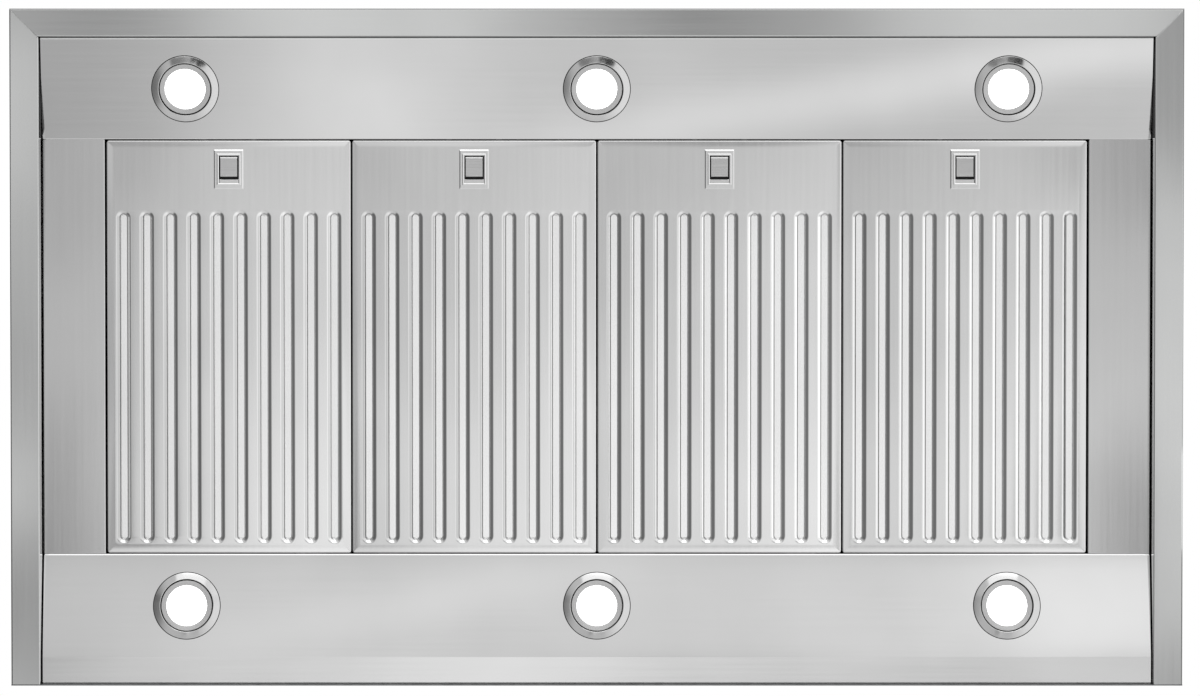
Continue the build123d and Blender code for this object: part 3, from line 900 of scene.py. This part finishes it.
@dataclass
class Lights:
    """Six round lights, three in each light panel. Sizes are in millimetres."""

    finishes: Finishes
    spacing: float = 427.3
    turns: int = 96
    can_radius: float = 30.0
    can_depth: float = 24.0
    can_slope: float = 1.5
    ring: Path = field(default_factory=lambda: [
        (30.0, 0.0), (34.6, 0.0), (34.6, -0.6), (34.5, -0.9), (34.1, -1.15), (31.0, -2.35), (28.3, -3.4),
        (27.8, -3.5), (27.5, -3.35), (27.35, -2.9), (27.35, 1.5)])
    shadow_seals: tuple[Path, ...] = (
        [(27.3, 1.0), (27.3, -1.3), (27.0, -1.5), (26.6, -1.5), (26.3, -1.3), (26.3, 1.0)],
        [(34.0, -0.5), (34.8, -1.0), (35.1, -0.95), (35.3, -0.6), (35.3, 0.3), (34.0, 0.3)])
    land: Path = field(default_factory=lambda: [
        (26.3, 1.5), (26.3, -2.1), (26.15, -2.35), (25.8, -2.4), (24.0, -2.3), (21.5, -2.2), (21.15, -2.05),
        (21.0, -1.6), (21.0, 0.0)])
    lens: Path = field(default_factory=lambda: [
        (21.0, -0.3), (20.6, -1.2), (19.5, -1.45), (12.0, -1.7), (0.0, -1.8)])

    def turned(self, name: str, profile: Path, place: Matrix) -> Piece:
        """Turns a profile about the light's axis.

        Args:
            name: name of the piece.
            profile: radius and height of its corners.
            place: where the light's axis is.

        Returns:
            The piece.
        """
        piece = Piece(name)
        edges = piece.loop([(r * MM, 0.0, z * MM) for r, z in profile])
        verts = once(v for e in edges for v in e.verts)
        bmesh.ops.spin(
            piece.bm, geom=verts + edges, cent=(0, 0, 0), axis=(0, 0, 1), angle=2 * math.pi,
            steps=self.turns, use_merge=True,
        )
        bmesh.ops.remove_doubles(piece.bm, verts=piece.bm.verts, dist=1e-6)
        self.map_rings(piece)
        bmesh.ops.transform(piece.bm, matrix=place, verts=piece.bm.verts)
        return piece

    @staticmethod
    def map_rings(piece: Piece) -> None:
        """Gives the piece a UV map whose U runs round the axis and V away from it."""
        layer = piece.bm.loops.layers.uv.new(Piece.UV)
        for face in piece.bm.faces:
            middle = face.calc_center_median()
            turn = math.atan2(middle.y, middle.x)
            for corner in face.loops:
                at = corner.vert.co
                delta = (math.atan2(at.y, at.x) - turn + math.pi) % (2 * math.pi) - math.pi
                if at.xy.length < 1e-6:
                    delta = 0.0
                corner[layer].uv = ((turn + delta) / (2 * math.pi), at.xy.length * 10 + at.z * 5)

    def light(self, row: str, number: int, place: Matrix) -> None:
        """Builds one light.

        Args:
            row: "front" or "rear".
            number: which light of the row.
            place: where its axis is.
        """
        tag = f"{row}_light_{number}"
        ring = self.turned(tag + "_ring", self.ring, place)
        ring.finish(self.finishes.ring, "hood", "light_trim", f"{row}_light_housings", angle=30.0)
        land = self.turned(tag + "_face", self.land, place)
        land.finish(self.finishes.land, "hood", "light_trim", angle=30.0)
        # Near-black rings inside and outside the trim: painted shadow lines at the trim's gaps.
        for where, profile in zip(("inner", "outer"), self.shadow_seals):
            shadow_seal = self.turned(f"{tag}_{where}_seal", profile, place)
            shadow_seal.finish(self.finishes.shadow_seal, "hood", "light_trim", angle=30.0)
        lens = self.turned(tag + "_lens", self.lens, place)
        lens.finish(self.finishes.lens, "hood", "lens", f"{row}_light_lenses")
        radius, depth, slope = self.can_radius, self.can_depth, self.can_slope
        can = [(0.0, depth), (radius - slope, depth), (radius, depth - slope), (radius, 0.0)]
        self.turned(tag + "_can", can, place).finish(self.finishes.zinc, "hood", "light_trim")

    def build(self, underside: Underside) -> None:
        """Builds both rows of lights on the slopes of the light panels.

        Args:
            underside: the panels that carry them.
        """
        for row, path in (("front", underside.front_path), ("rear", underside.rear_path)):
            (y0, z0), (y1, z1) = path[-2:]
            lean = math.atan2(z1 - z0, abs(y1 - y0)) * (1 if y1 > y0 else -1)
            for number, x in enumerate((-self.spacing, 0.0, self.spacing), 1):
                middle = Vector((x, (y0 + y1) / 2, (z0 + z1) / 2)) * MM
                self.light(row, number, Matrix.Translation(middle) @ Matrix.Rotation(lean, 4, "X"))


@dataclass
class Filters:
    """Four baffle filters with their latches. Sizes are in millimetres."""

    finishes: Finishes
    count: int = 4
    pitch: float = 255.6
    width: float = 254.3
    front: float = -566.3
    rear: float = -136.1
    level: float = 26.0
    height: float = 17.0
    sheet: float = 0.9
    corner_radius: float = 2.2
    edge_radius: float = 1.3
    frame_width: float = 6.4
    frame_rise: float = 0.25
    tongue_level: float = 28.14
    tongue_place: float = 85.0
    tongue_size: Span = (30.0, 12.0)
    slots: int = 10
    slot_pitch: float = 24.4
    slot_front: float = -493.9
    slot_rear: float = -145.7
    slot_turns: int = 16
    slot_profile: Path = field(default_factory=lambda: [
        (8.1, 0.0), (7.7, 0.05), (7.2, 0.2), (6.7, 0.5), (5.8, 1.13), (4.9, 1.76), (4.3, 2.2), (3.85, 2.75),
        (3.45, 3.5), (3.15, 4.4), (3.05, 5.2)])
    cap: float = 16.0
    cap_level: float = 6.5
    cap_lip: float = 5.0
    cap_bend: float = 1.2
    plate_reach: float = 6.0
    latch_setback: float = 30.2
    window_inset: float = 1.6
    bezel: Span = (30.8, 41.0)
    bezel_proud: float = 0.7
    opening: Span = (20.4, 28.6)
    bezel_slope: float = 1.2
    bead: Span = (1.1, 0.48)
    latch_roof: float = 9.0
    ledge: float = 4.3
    ledge_depth: float = 3.8
    pad_half: float = 8.9
    pad_span: Span = (-550.2, -528.5)
    pad_lip: float = 1.2
    pad_lead: float = 2.7
    slider: Span = (28.3, 29.5)
    slider_half: float = 28.6
    arm_half: float = 7.5
    bolt_place: float = 26.0
    bolt_half: float = 2.6
    bolt_tip: float = -570.8

    def places(self) -> list[float]:
        """Middle of each filter along the wall."""
        return [(i - (self.count - 1) / 2) * self.pitch for i in range(self.count)]

    def slot_places(self) -> list[float]:
        """Middle of each slot, from the filter's middle."""
        return [(i - (self.slots - 1) / 2) * self.slot_pitch for i in range(self.slots)]

    def slot(self, piece: Piece, x: float) -> None:
        """Adds one slot's rolled wall.

        Args:
            piece: the pan.
            x: the slot's middle.
        """
        reach = self.slot_profile[0][0]
        front, rear = self.slot_front + reach, self.slot_rear - reach
        edges = piece.loop([((x + r) * MM, rear * MM, (self.level + z) * MM) for r, z in self.slot_profile])
        for centre, run in ((rear, front - rear), (front, rear - front)):
            verts = once(v for e in edges for v in e.verts)
            made = bmesh.ops.spin(
                piece.bm, geom=verts + edges, cent=(x * MM, centre * MM, 0.0), axis=(0, 0, 1), angle=math.pi,
                steps=self.slot_turns, use_merge=False,
            )["geom_last"]
            edges = [g for g in made if isinstance(g, bmesh.types.BMEdge)]
            edges = piece.draw_out(edges, Vector((0.0, run * MM, 0.0)))

    def pan(self, number: int, x: float) -> None:
        """Builds one filter's pan.

        Args:
            number: which filter.
            x: its middle.
        """
        piece = Piece(f"filter_{number}_pan")
        bm = piece.bm
        edge = self.level + self.frame_rise
        size = Vector((self.width, self.rear - self.front, self.height - self.frame_rise)) * MM
        middle = Vector((x, (self.front + self.rear) / 2, (edge + self.level + self.height) / 2)) * MM
        bmesh.ops.create_cube(bm, size=1.0, matrix=Matrix.Translation(middle) @ Matrix.Diagonal((*size, 1.0)))
        top = (self.level + self.height) * MM
        bmesh.ops.delete(bm, geom=[f for f in bm.faces if f.calc_center_median().z > top - 1e-6], context="FACES")
        upright = [e for e in bm.edges if abs(e.verts[0].co.z - e.verts[1].co.z) > MM]
        piece.round_edges(upright, self.corner_radius, 3)
        piece.round_edges(piece.under(edge + NEAR), self.edge_radius, 5)
        low = self.level * MM
        base = min(bm.faces, key=lambda f: f.calc_center_median().z)
        bmesh.ops.inset_region(
            bm, faces=[base], thickness=self.frame_width * MM, depth=self.frame_rise * MM, use_even_offset=True)
        inner = self.edge_radius + self.frame_width
        wide, long = self.width / 2 - inner, (self.rear - self.front) / 2 - inner
        for a, b in ((-1, -1), (1, -1), (1, 1), (-1, 1)):
            corner = Vector((x + a * wide, (self.front + self.rear) / 2 + b * long, self.level)) * MM
            near = [v for v in base.verts if (v.co - corner).length < 3.0 * self.frame_width * MM]
            bmesh.ops.pointmerge(bm, verts=near, merge_co=corner)
        bmesh.ops.delete(bm, geom=[base], context="FACES_ONLY")
        for place in self.slot_places():
            self.slot(piece, x + place)
        bmesh.ops.remove_doubles(bm, verts=bm.verts, dist=1e-6)
        wide, long = self.bezel[0] / 2 - self.window_inset, self.bezel[1] / 2 - self.window_inset
        y = self.front + self.latch_setback
        window = [(-wide, -long), (wide, -long), (wide, long), (-wide, long)]
        piece.loop([((x + a) * MM, (y + b) * MM, low) for a, b in window], closed=True)
        edges = [
            e for e in bm.edges
            if len(e.link_faces) <= 1 and all(abs(v.co.z - low) < 1e-6 for v in e.verts)
        ]
        bmesh.ops.triangle_fill(bm, use_beauty=True, use_dissolve=False, edges=edges, normal=(0, 0, -1))
        bmesh.ops.recalc_face_normals(bm, faces=bm.faces[:])
        lowest = [f for f in bm.faces if abs(f.calc_center_median().z - low) < 1e-7]
        if lowest and lowest[0].normal.z > 0:
            flip(piece)
        piece.thicken(self.sheet)
        # UV map across the filter, read by the filter finish for its painted sheen.
        across = bm.loops.layers.uv.new(Piece.ACROSS)
        for face in bm.faces:
            for corner in face.loops:
                corner[across].uv = ((corner.vert.co.x / MM - x) / self.width + 0.5, 0.5)
        piece.finish(
            self.finishes.filter, f"filter_{number}", "filter_steel", f"filter_pan_{number}",
            angle=35.0, faces_up=False,
        )
        tongues = Piece(f"filter_{number}_tongues")
        wide, long = self.tongue_size
        for side in (-1, 1):
            place = x + side * self.tongue_place
            tongues.block((place - wide / 2, self.rear - 0.5, self.tongue_level),
                          (place + wide / 2, self.rear + long, self.tongue_level + self.sheet))
        # Near-black tongues: painted shade where they cross the gap.
        tongues.finish(self.finishes.tongue, f"filter_{number}", "filter_steel")

    def baffles(self, number: int, x: float) -> None:
        """Builds one filter's upper baffles: a channel over each slot, joined at both ends.

        Args:
            number: which filter.
            x: its middle.
        """
        piece = Piece(f"filter_{number}_upper_baffles")
        level = self.level + self.cap_level
        foot, head = level - self.cap_lip, level + self.sheet
        for place in self.slot_places():
            part = Piece("channel")
            left, right = x + place - self.cap / 2, x + place + self.cap / 2
            path = [(left, foot), (left, head), (right, head), (right, foot)]
            folded_sheet(part, path, Run.FROM_WALL, self.slot_front, self.slot_rear, self.cap_bend)
            Shell.face_out(part, Vector((0.0, 0.0, 1.0)))
            part.thicken(self.sheet)
            mesh = bpy.data.meshes.new("channel")
            part.bm.to_mesh(mesh)
            part.bm.free()
            piece.bm.from_mesh(mesh)
            bpy.data.meshes.remove(mesh)
        edge, reach = self.width / 2 - self.sheet, self.plate_reach
        spans = (self.slot_front - reach, self.slot_front + reach), (self.slot_rear - reach, self.rear - self.sheet)
        for low, high in spans:
            piece.block((x - edge, low, level), (x + edge, high, head), 0.0)
        # Lighter baffle finish: painted highlight on the strips seen through the slots.
        piece.finish(
            self.finishes.baffle, f"filter_{number}", "filter_steel", f"filter_baffles_{number}", faces_up=False,
        )

    def latch_frame(self, number: int, x: float) -> None:
        """Builds one latch's bezel and cup.

        Args:
            number: which filter.
            x: its middle.
        """
        piece = Piece(f"latch_{number}_bezel")
        bm = piece.bm
        y = self.front + self.latch_setback
        bead = 2 * self.bead[0]
        border = (self.bezel[0] - self.opening[0]) / 2 - self.bezel_slope - bead
        stretch = Matrix.Diagonal((self.bezel[0] * MM, self.bezel[1] * MM, 1.0, 1.0))
        place = Matrix.Translation(Vector((x, y, self.level)) * MM)
        turn = Matrix.Rotation(math.pi, 4, "X")
        bmesh.ops.create_grid(bm, x_segments=1, y_segments=1, size=0.5, matrix=place @ turn @ stretch)
        middle = bm.faces[:]
        steps = (
            (self.bezel_slope, self.bezel_proud), (border, 0.0), (self.bead[0], self.bead[1]),
            (self.bead[0], -self.bead[1]),
        )
        for turn, (wide, rise) in enumerate(steps):
            bmesh.ops.inset_region(
                bm, faces=middle, thickness=wide * MM, depth=rise * MM, use_boundary=True, use_even_offset=True)
            if turn == 1:
                long = self.opening[1] + 2 * bead
                shrink = long / (self.bezel[1] - 2 * self.bezel_slope - 2 * border)
                inner = once(v for f in middle for v in f.verts)
                bmesh.ops.scale(bm, vec=(1.0, shrink, 1.0), verts=inner, space=Matrix.Translation((0.0, -y * MM, 0.0)))
        bmesh.ops.delete(bm, geom=middle, context="FACES_ONLY")
        bm.normal_update()
        piece.round_edges(piece.folds(), 0.08, 1)
        piece.finish(
            self.finishes.latch, f"filter_{number}", "latch", f"latch_housing_{number}", faces_up=False,
        )
        cup = Piece(f"latch_{number}_cup")
        wide, long = self.opening[0] / 2, self.opening[1] / 2
        roof = self.level + self.latch_roof
        out, back = wide + self.sheet, long + self.sheet
        cup.block((x - out, y - back, self.level - 0.4), (x + out, y + back, roof), 0.0)
        floor = [f for f in cup.bm.faces if f.normal.z < -0.9]
        bmesh.ops.delete(cup.bm, geom=floor, context="FACES_ONLY")
        flip(cup)
        cup.thicken(-self.sheet)
        # Near-black cup: painted shade deepening the latch's pocket.
        cup.finish(self.finishes.plastic, f"filter_{number}", "latch")
        ledge = Piece(f"latch_{number}_ledge")
        front, foot = y + long - self.ledge, self.level + self.ledge_depth
        ledge.block((x - wide, front, foot), (x + wide, y + long, roof), 0.0)
        low = ledge.under(foot + NEAR)
        ledge.round_edges([e for e in ledge.under(front + NEAR, "y") if e in low], 1.0, 4)
        ledge.finish(self.finishes.latch, f"filter_{number}", "latch")

    def latch_pad(self, number: int, x: float) -> None:
        """Builds one latch's sliding pad with its tongues.

        Args:
            number: which filter.
            x: its middle.
        """
        piece = Piece(f"latch_{number}_pad")
        front, rear = self.pad_span
        level, top = self.slider
        half = self.pad_half
        piece.block((x - half, front, self.level + 0.4), (x + half, rear - self.pad_lip, top - 0.1), 0.0)
        low = piece.under(self.level + 0.5)
        piece.round_edges([e for e in piece.under(front + 0.1, "y") if e in low], self.pad_lead, 2)
        low = piece.under(self.level + 0.5)
        sides = [e for e in low if min(abs(v.co.x / MM - x) for v in e.verts) > half - 0.1]
        piece.round_edges(sides, 0.4, 2)
        piece.block((x - half, rear - self.pad_lip - 0.05, self.level - 0.45), (x + half, rear, top), 0.45)
        piece.finish(self.finishes.pad, f"latch_{number}", "latch", f"latch_slider_{number}")
        tongues = Piece(f"latch_{number}_tongues")
        bar = self.front + self.sheet + 1.0
        tongues.block((x - self.arm_half, bar, level), (x + self.arm_half, front + 3.0, top), 0.2)
        tongues.block((x - self.slider_half, bar, level), (x + self.slider_half, bar + 5.0, top), 0.2)
        for side in (-1, 1):
            place = x + side * self.bolt_place
            tongues.block((place - self.bolt_half, self.bolt_tip, level), (place + self.bolt_half, bar + 1.2, top), 0.3)
        # Near-black tongues: painted shade where they cross the gap.
        tongues.finish(self.finishes.tongue, f"latch_{number}", "latch")

    def build(self) -> None:
        """Builds the four filters."""
        for number, x in enumerate(self.places(), start=1):
            self.pan(number, x)
            self.baffles(number, x)
            self.latch_frame(number, x)
            self.latch_pad(number, x)


@dataclass
class Inside:
    """What sits inside and on top: blower, duct collar, damper, switches and inlet box."""

    finishes: Finishes
    keys: int = 5

    def build(self) -> None:
        """Dresses the inner nodes."""
        look = self.finishes
        for node in ("blower_housing", "blower_wheel", "duct_collar", "junction_box", "junction_box_cover",
                     "damper_flap_front", "damper_flap_rear"):
            dress(node, look.zinc)
        dress("blower_motor", look.motor)
        dress("motor_shaft", look.screw)
        dress("collar_screws", look.screw)
        dress("switch_housing", look.plastic)
        for number in range(self.keys):
            dress(f"push_button_{number + 1}", look.key)


def toned(bench: Bench, share: Socket, tones: Tones, reach: float = 1.0) -> Socket:
    """Spreads tones along one axis of the direction of view.

    Args:
        bench: the world's nodes.
        share: the direction's share along the axis, from -1 to 1.
        tones: shares with their brightness.
        reach: the largest share that the tones cover.

    Returns:
        The brightness.
    """
    ramp = bench.add("ValToRGB")
    stops = ramp.color_ramp.elements
    stops.remove(stops[1])
    for number, (place, grey) in enumerate(tones):
        place = (place / reach + 1.0) / 2.0
        stop = stops.new(place) if number else stops[0]
        stop.position = place
        stop.color = (grey, grey, grey, 1.0)
    bench.join(bench.remap(share, (-reach, reach)), ramp.inputs["Fac"])
    return ramp.outputs["Color"]


@dataclass(frozen=True)
class Reflector:
    """A soft bright patch of the studio, given by the direction it is seen in."""

    sideways: float
    wallwards: float
    width: float
    depth: float
    strength: float
    turn: float = 0.0

    def add(self, bench: Bench, way: Socket, before: Socket) -> Socket:
        """Adds the patch to the studio's brightness.

        Args:
            bench: the world's nodes.
            way: the direction of view.
            before: brightness without the patch.

        Returns:
            Brightness with the patch.
        """
        mapping = bench.add("Mapping", vector_type="TEXTURE")
        mapping.inputs["Location"].default_value = (self.sideways, self.wallwards, 0.0)
        mapping.inputs["Rotation"].default_value = (0.0, 0.0, math.radians(self.turn))
        mapping.inputs["Scale"].default_value = (self.width, self.depth, 1000.0)
        bench.join(way, mapping.inputs["Vector"])
        falloff = bench.add("TexGradient", gradient_type="SPHERICAL")
        bench.join(mapping.outputs["Vector"], falloff.inputs["Vector"])
        patch = bench.remap(falloff.outputs["Fac"], target=(0.0, self.strength), kind="SMOOTHSTEP")
        return bench.math("ADD", patch, before)


@dataclass(frozen=True)
class Backdrop:
    """A strip of the studio that one part of the hood mirrors, with its own tones along its length."""

    along: str
    low: float
    high: float
    tones: Tones
    soft: float = 0.008
    reach: float = 0.19

    def add(self, bench: Bench, axes: bpy.types.Node, before: Socket) -> Socket:
        """Lays the strip over the studio's brightness.

        Args:
            bench: the world's nodes.
            axes: the node that splits the direction of view.
            before: brightness without the strip.

        Returns:
            Brightness with the strip.
        """
        across = "Y" if self.along == "X" else "X"
        edges = (
            (across, self.low, self.soft), (across, self.high, -self.soft),
            (self.along, -self.reach, 0.02), (self.along, self.reach, -0.02),
        )
        first, *others = (
            bench.remap(axes.outputs[axis], (edge - soft, edge + soft), kind="SMOOTHSTEP")
            for axis, edge, soft in edges
        )
        for other in others:
            first = bench.math("MINIMUM", first, other)
        blend = bench.add("Mix", data_type="FLOAT")
        parts = first, before, toned(bench, axes.outputs[self.along], self.tones, 0.25)
        for part, end in zip(parts, (0, 2, 3)):
            bench.join(part, blend.inputs[end])
        return blend.outputs[0]


@dataclass(frozen=True)
class SoftBox:
    """A soft studio light. Sizes are in metres."""

    name: str
    place: Size
    width: float
    height: float
    radiance: float

    def add(self, target: Size) -> None:
        """Adds the light, turned to a point."""
        data = bpy.data.lights.new(self.name, "AREA")
        data.shape = "RECTANGLE"
        data.size, data.size_y = self.width, self.height
        data.energy = self.radiance * math.pi * self.width * self.height
        thing = bpy.data.objects.new(self.name, data)
        ahead = (Vector(target) - Vector(self.place)).normalized()
        turn = ahead.to_track_quat("-Z", "Y").to_matrix().to_4x4()
        thing.matrix_world = Matrix.Translation(self.place) @ turn
        bpy.context.scene.collection.objects.link(thing)


@dataclass(frozen=True)
class Studio:
    """Pale floor, soft lights and the camera at the photograph's angle. Sizes are in metres."""

    distance: float = 4.5
    pitch: float = 1.45
    aim: Size = (0.0033, -0.3507, 0.0)
    view_width: float = 1.2437
    floor_level: float = -9.5
    floor_size: float = 40.0
    left_to_right: Tones = (
        (-1.0, 0.17), (-0.76, 0.17), (-0.68, 0.30), (-0.60, 0.58), (-0.50, 0.70), (-0.2, 0.66), (-0.11, 0.71),
        (0.11, 0.71), (0.25, 0.85), (0.55, 1.15), (0.80, 1.15), (0.92, 0.82), (1.0, 0.80))
    front_to_wall: Tones = (
        (-1.0, 0.10), (-0.42, 0.10), (-0.36, -0.10), (-0.27, -0.10), (-0.2, 0.05), (0.0, 0.05), (0.6, 0.05),
        (0.8, 0.15), (1.0, 0.20))
    horizon: Tones = (
        (-1.0, 1.0), (-0.4, 1.0), (-0.3, 0.88), (-0.12, 0.40), (0.0, 0.3), (0.15, 0.35), (0.4, 0.65), (1.0, 0.75))
    backdrops: tuple[Backdrop, ...] = (
        Backdrop("X", -1.200, -0.410, ((-0.200, 1.46), (0.200, 1.46)), 0.020, 0.33),
        Backdrop("X", -0.400, -0.170, (
            (-0.160, 0.30), (-0.050, 0.44), (0.030, 0.50), (0.080, 0.05), (0.200, 0.05)), 0.010, 0.42),
        Backdrop("X", -0.020, 0.070, ((-0.110, 0.84), (0.110, 0.84))),
        Backdrop("X", -0.056, -0.004, ((-0.110, 0.76), (0.110, 0.76)), 0.008),
        Backdrop("X", 0.036, 0.100, ((-0.112, 1.08), (0.112, 1.06)), 0.005),
        Backdrop("Y", -0.142, -0.1135, (
            (-0.025, 0.62), (0.010, 0.66), (0.022, 0.80), (0.030, 0.80), (0.040, 0.60), (0.058, 0.46),
            (0.072, 0.32)), 0.002),
        Backdrop("Y", 0.1135, 0.142, (
            (-0.025, 0.50), (-0.008, 0.46), (0.004, 0.84), (0.045, 0.86), (0.056, 0.46), (0.072, 0.36)), 0.002),
        Backdrop("X", -0.130, -0.052, (
            (-0.135, 0.62), (-0.125, 0.50), (-0.105, 0.45), (-0.088, 0.80), (-0.076, 1.02), (-0.034, 1.00),
            (-0.018, 0.74), (0.004, 0.58), (0.022, 0.34), (0.034, 0.46), (0.055, 0.60), (0.070, 0.86), (0.085, 0.96),
            (0.126, 1.00), (0.136, 0.65))),
        Backdrop("X", 0.088, 0.200, (
            (-0.132, 0.46), (-0.122, 0.67), (-0.085, 0.70), (-0.050, 0.84), (-0.030, 1.00), (-0.012, 0.98),
            (0.008, 0.78), (0.025, 0.70), (0.090, 0.66), (0.118, 0.84), (0.130, 0.82))),
        Backdrop("X", 0.118, 0.200, ((-0.112, 1.14), (0.112, 1.12))),
        Backdrop("X", -0.260, -0.140, (
            (-0.130, 0.66), (-0.115, 0.74), (-0.080, 0.78), (-0.030, 0.82), (0.020, 0.80), (0.060, 0.84),
            (0.085, 0.92), (0.105, 1.08), (0.135, 1.02))),
        Backdrop("X", 0.320, 0.500, (
            (-0.130, 0.50), (-0.105, 0.50), (-0.070, 0.90), (-0.052, 0.98), (-0.030, 0.78), (-0.010, 0.72),
            (0.060, 0.68), (0.130, 0.70))),
        Backdrop("X", 0.320, 0.385, (
            (-0.130, 0.50), (-0.105, 0.50), (-0.070, 0.84), (-0.052, 0.92), (-0.030, 0.78), (-0.010, 0.72),
            (0.060, 0.68), (0.085, 0.70), (0.105, 0.84), (0.130, 0.86)), 0.020),
        Backdrop("Y", -0.230, -0.142, (
            (-0.054, 0.56), (-0.044, 0.94), (-0.022, 0.94), (-0.008, 0.74), (0.022, 0.56), (0.040, 0.62),
            (0.052, 0.84), (0.060, 1.04), (0.068, 0.62), (0.076, 0.46), (0.094, 0.50), (0.104, 0.72)), 0.003),
        Backdrop("Y", 0.142, 0.230, (
            (-0.054, 0.52), (-0.022, 0.50), (-0.014, 0.92), (0.050, 1.00), (0.088, 0.96), (0.094, 0.52),
            (0.104, 0.50)), 0.003),
    )
    middle: Size = (0.0, -0.35, 0.0)
    boxes: tuple[SoftBox, ...] = (
        SoftBox("front_box", (0.4, -4.4, -2.2), 3.6, 1.0, 1.2),
        SoftBox("right_box", (3.8, -0.6, -0.9), 1.6, 0.8, 0.8),
    )
    reflectors: tuple[Reflector, ...] = (
        Reflector(-0.045, -0.196, 0.13, 0.030, 0.16, -50.0),
        Reflector(0.058, 0.41, 0.16, 0.036, 0.30, -41.0),
    )

    def camera(self) -> None:
        """Places the camera below the hood, looking up, the wall at the bottom of the picture."""
        lean = math.radians(self.pitch)
        ahead = Vector((0.0, math.sin(lean), math.cos(lean)))
        right = Vector((1.0, 0.0, 0.0))
        up = right.cross(ahead)
        turn = Matrix((right, up, -ahead)).transposed().to_4x4()
        data = bpy.data.cameras.new("camera")
        data.sensor_width = 36.0
        data.lens = data.sensor_width * self.distance / self.view_width
        data.clip_end = 100.0
        thing = bpy.data.objects.new("camera", data)
        thing.matrix_world = Matrix.Translation(Vector(self.aim) - ahead * self.distance) @ turn
        bpy.context.scene.collection.objects.link(thing)
        bpy.context.scene.camera = thing

    def floor(self) -> None:
        """Lays the pale floor."""
        bm = bmesh.new()
        bmesh.ops.create_grid(
            bm, x_segments=1, y_segments=1, size=self.floor_size / 2,
            matrix=Matrix.Translation((0.0, 0.0, self.floor_level)),
        )
        mesh = bpy.data.meshes.new("floor")
        bm.to_mesh(mesh)
        bm.free()
        mesh.materials.append(Moulded("floor_paint", grey(0.78), roughness=0.8).build())
        thing = bpy.data.objects.new("floor", mesh)
        bpy.context.scene.collection.objects.link(thing)
        thing.visible_glossy = False

    def surroundings(self) -> None:
        """White behind the hood and, for its reflections, a grey studio with soft reflectors."""
        world = bpy.data.worlds.new("studio")
        bpy.context.scene.world = world
        world.use_nodes = True
        world.node_tree.nodes.clear()
        bench = Bench(world.node_tree)
        way = bench.add("TexCoord").outputs["Generated"]
        axes = bench.add("SeparateXYZ")
        bench.join(way, axes.inputs["Vector"])
        across, out, up = axes.outputs
        total = bench.math("ADD", toned(bench, across, self.left_to_right), toned(bench, out, self.front_to_wall))
        for backdrop in self.backdrops:
            total = backdrop.add(bench, axes, total)
        for reflector in self.reflectors:
            total = reflector.add(bench, way, total)
        total = bench.math("MULTIPLY", toned(bench, up, self.horizon), total)
        room, white = bench.add("Background"), bench.add("Background")
        for background in (room, white):
            background.inputs["Color"].default_value = (1.0, 1.0, 1.0, 1.0)
        bench.join(total, room.inputs["Strength"])
        mix = bench.add("MixShader")
        seen = bench.add("LightPath").outputs["Is Camera Ray"]
        for part, end in zip((seen, room.outputs[0], white.outputs[0]), mix.inputs):
            bench.join(part, end)
        bench.join(mix.outputs["Shader"], bench.add("OutputWorld").inputs["Surface"])

    def build(self) -> None:
        """Sets up the studio."""
        self.camera()
        self.floor()
        self.surroundings()
        for box in self.boxes:
            box.add(self.middle)
        bpy.context.scene.view_settings.view_transform = "Standard"


def main() -> None:
    """Builds the hood round the frame."""
    logging.basicConfig(level=logging.INFO, format="%(name)s: %(message)s")
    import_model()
    finishes = Finishes.build()
    Studio().build()
    Shell(finishes).build()
    underside = Underside(finishes)
    underside.build()
    Lights(finishes).build(underside)
    Filters(finishes).build()
    Inside(finishes).build()
    bpy.context.view_layer.update()


if __name__ == "__main__":
    main()
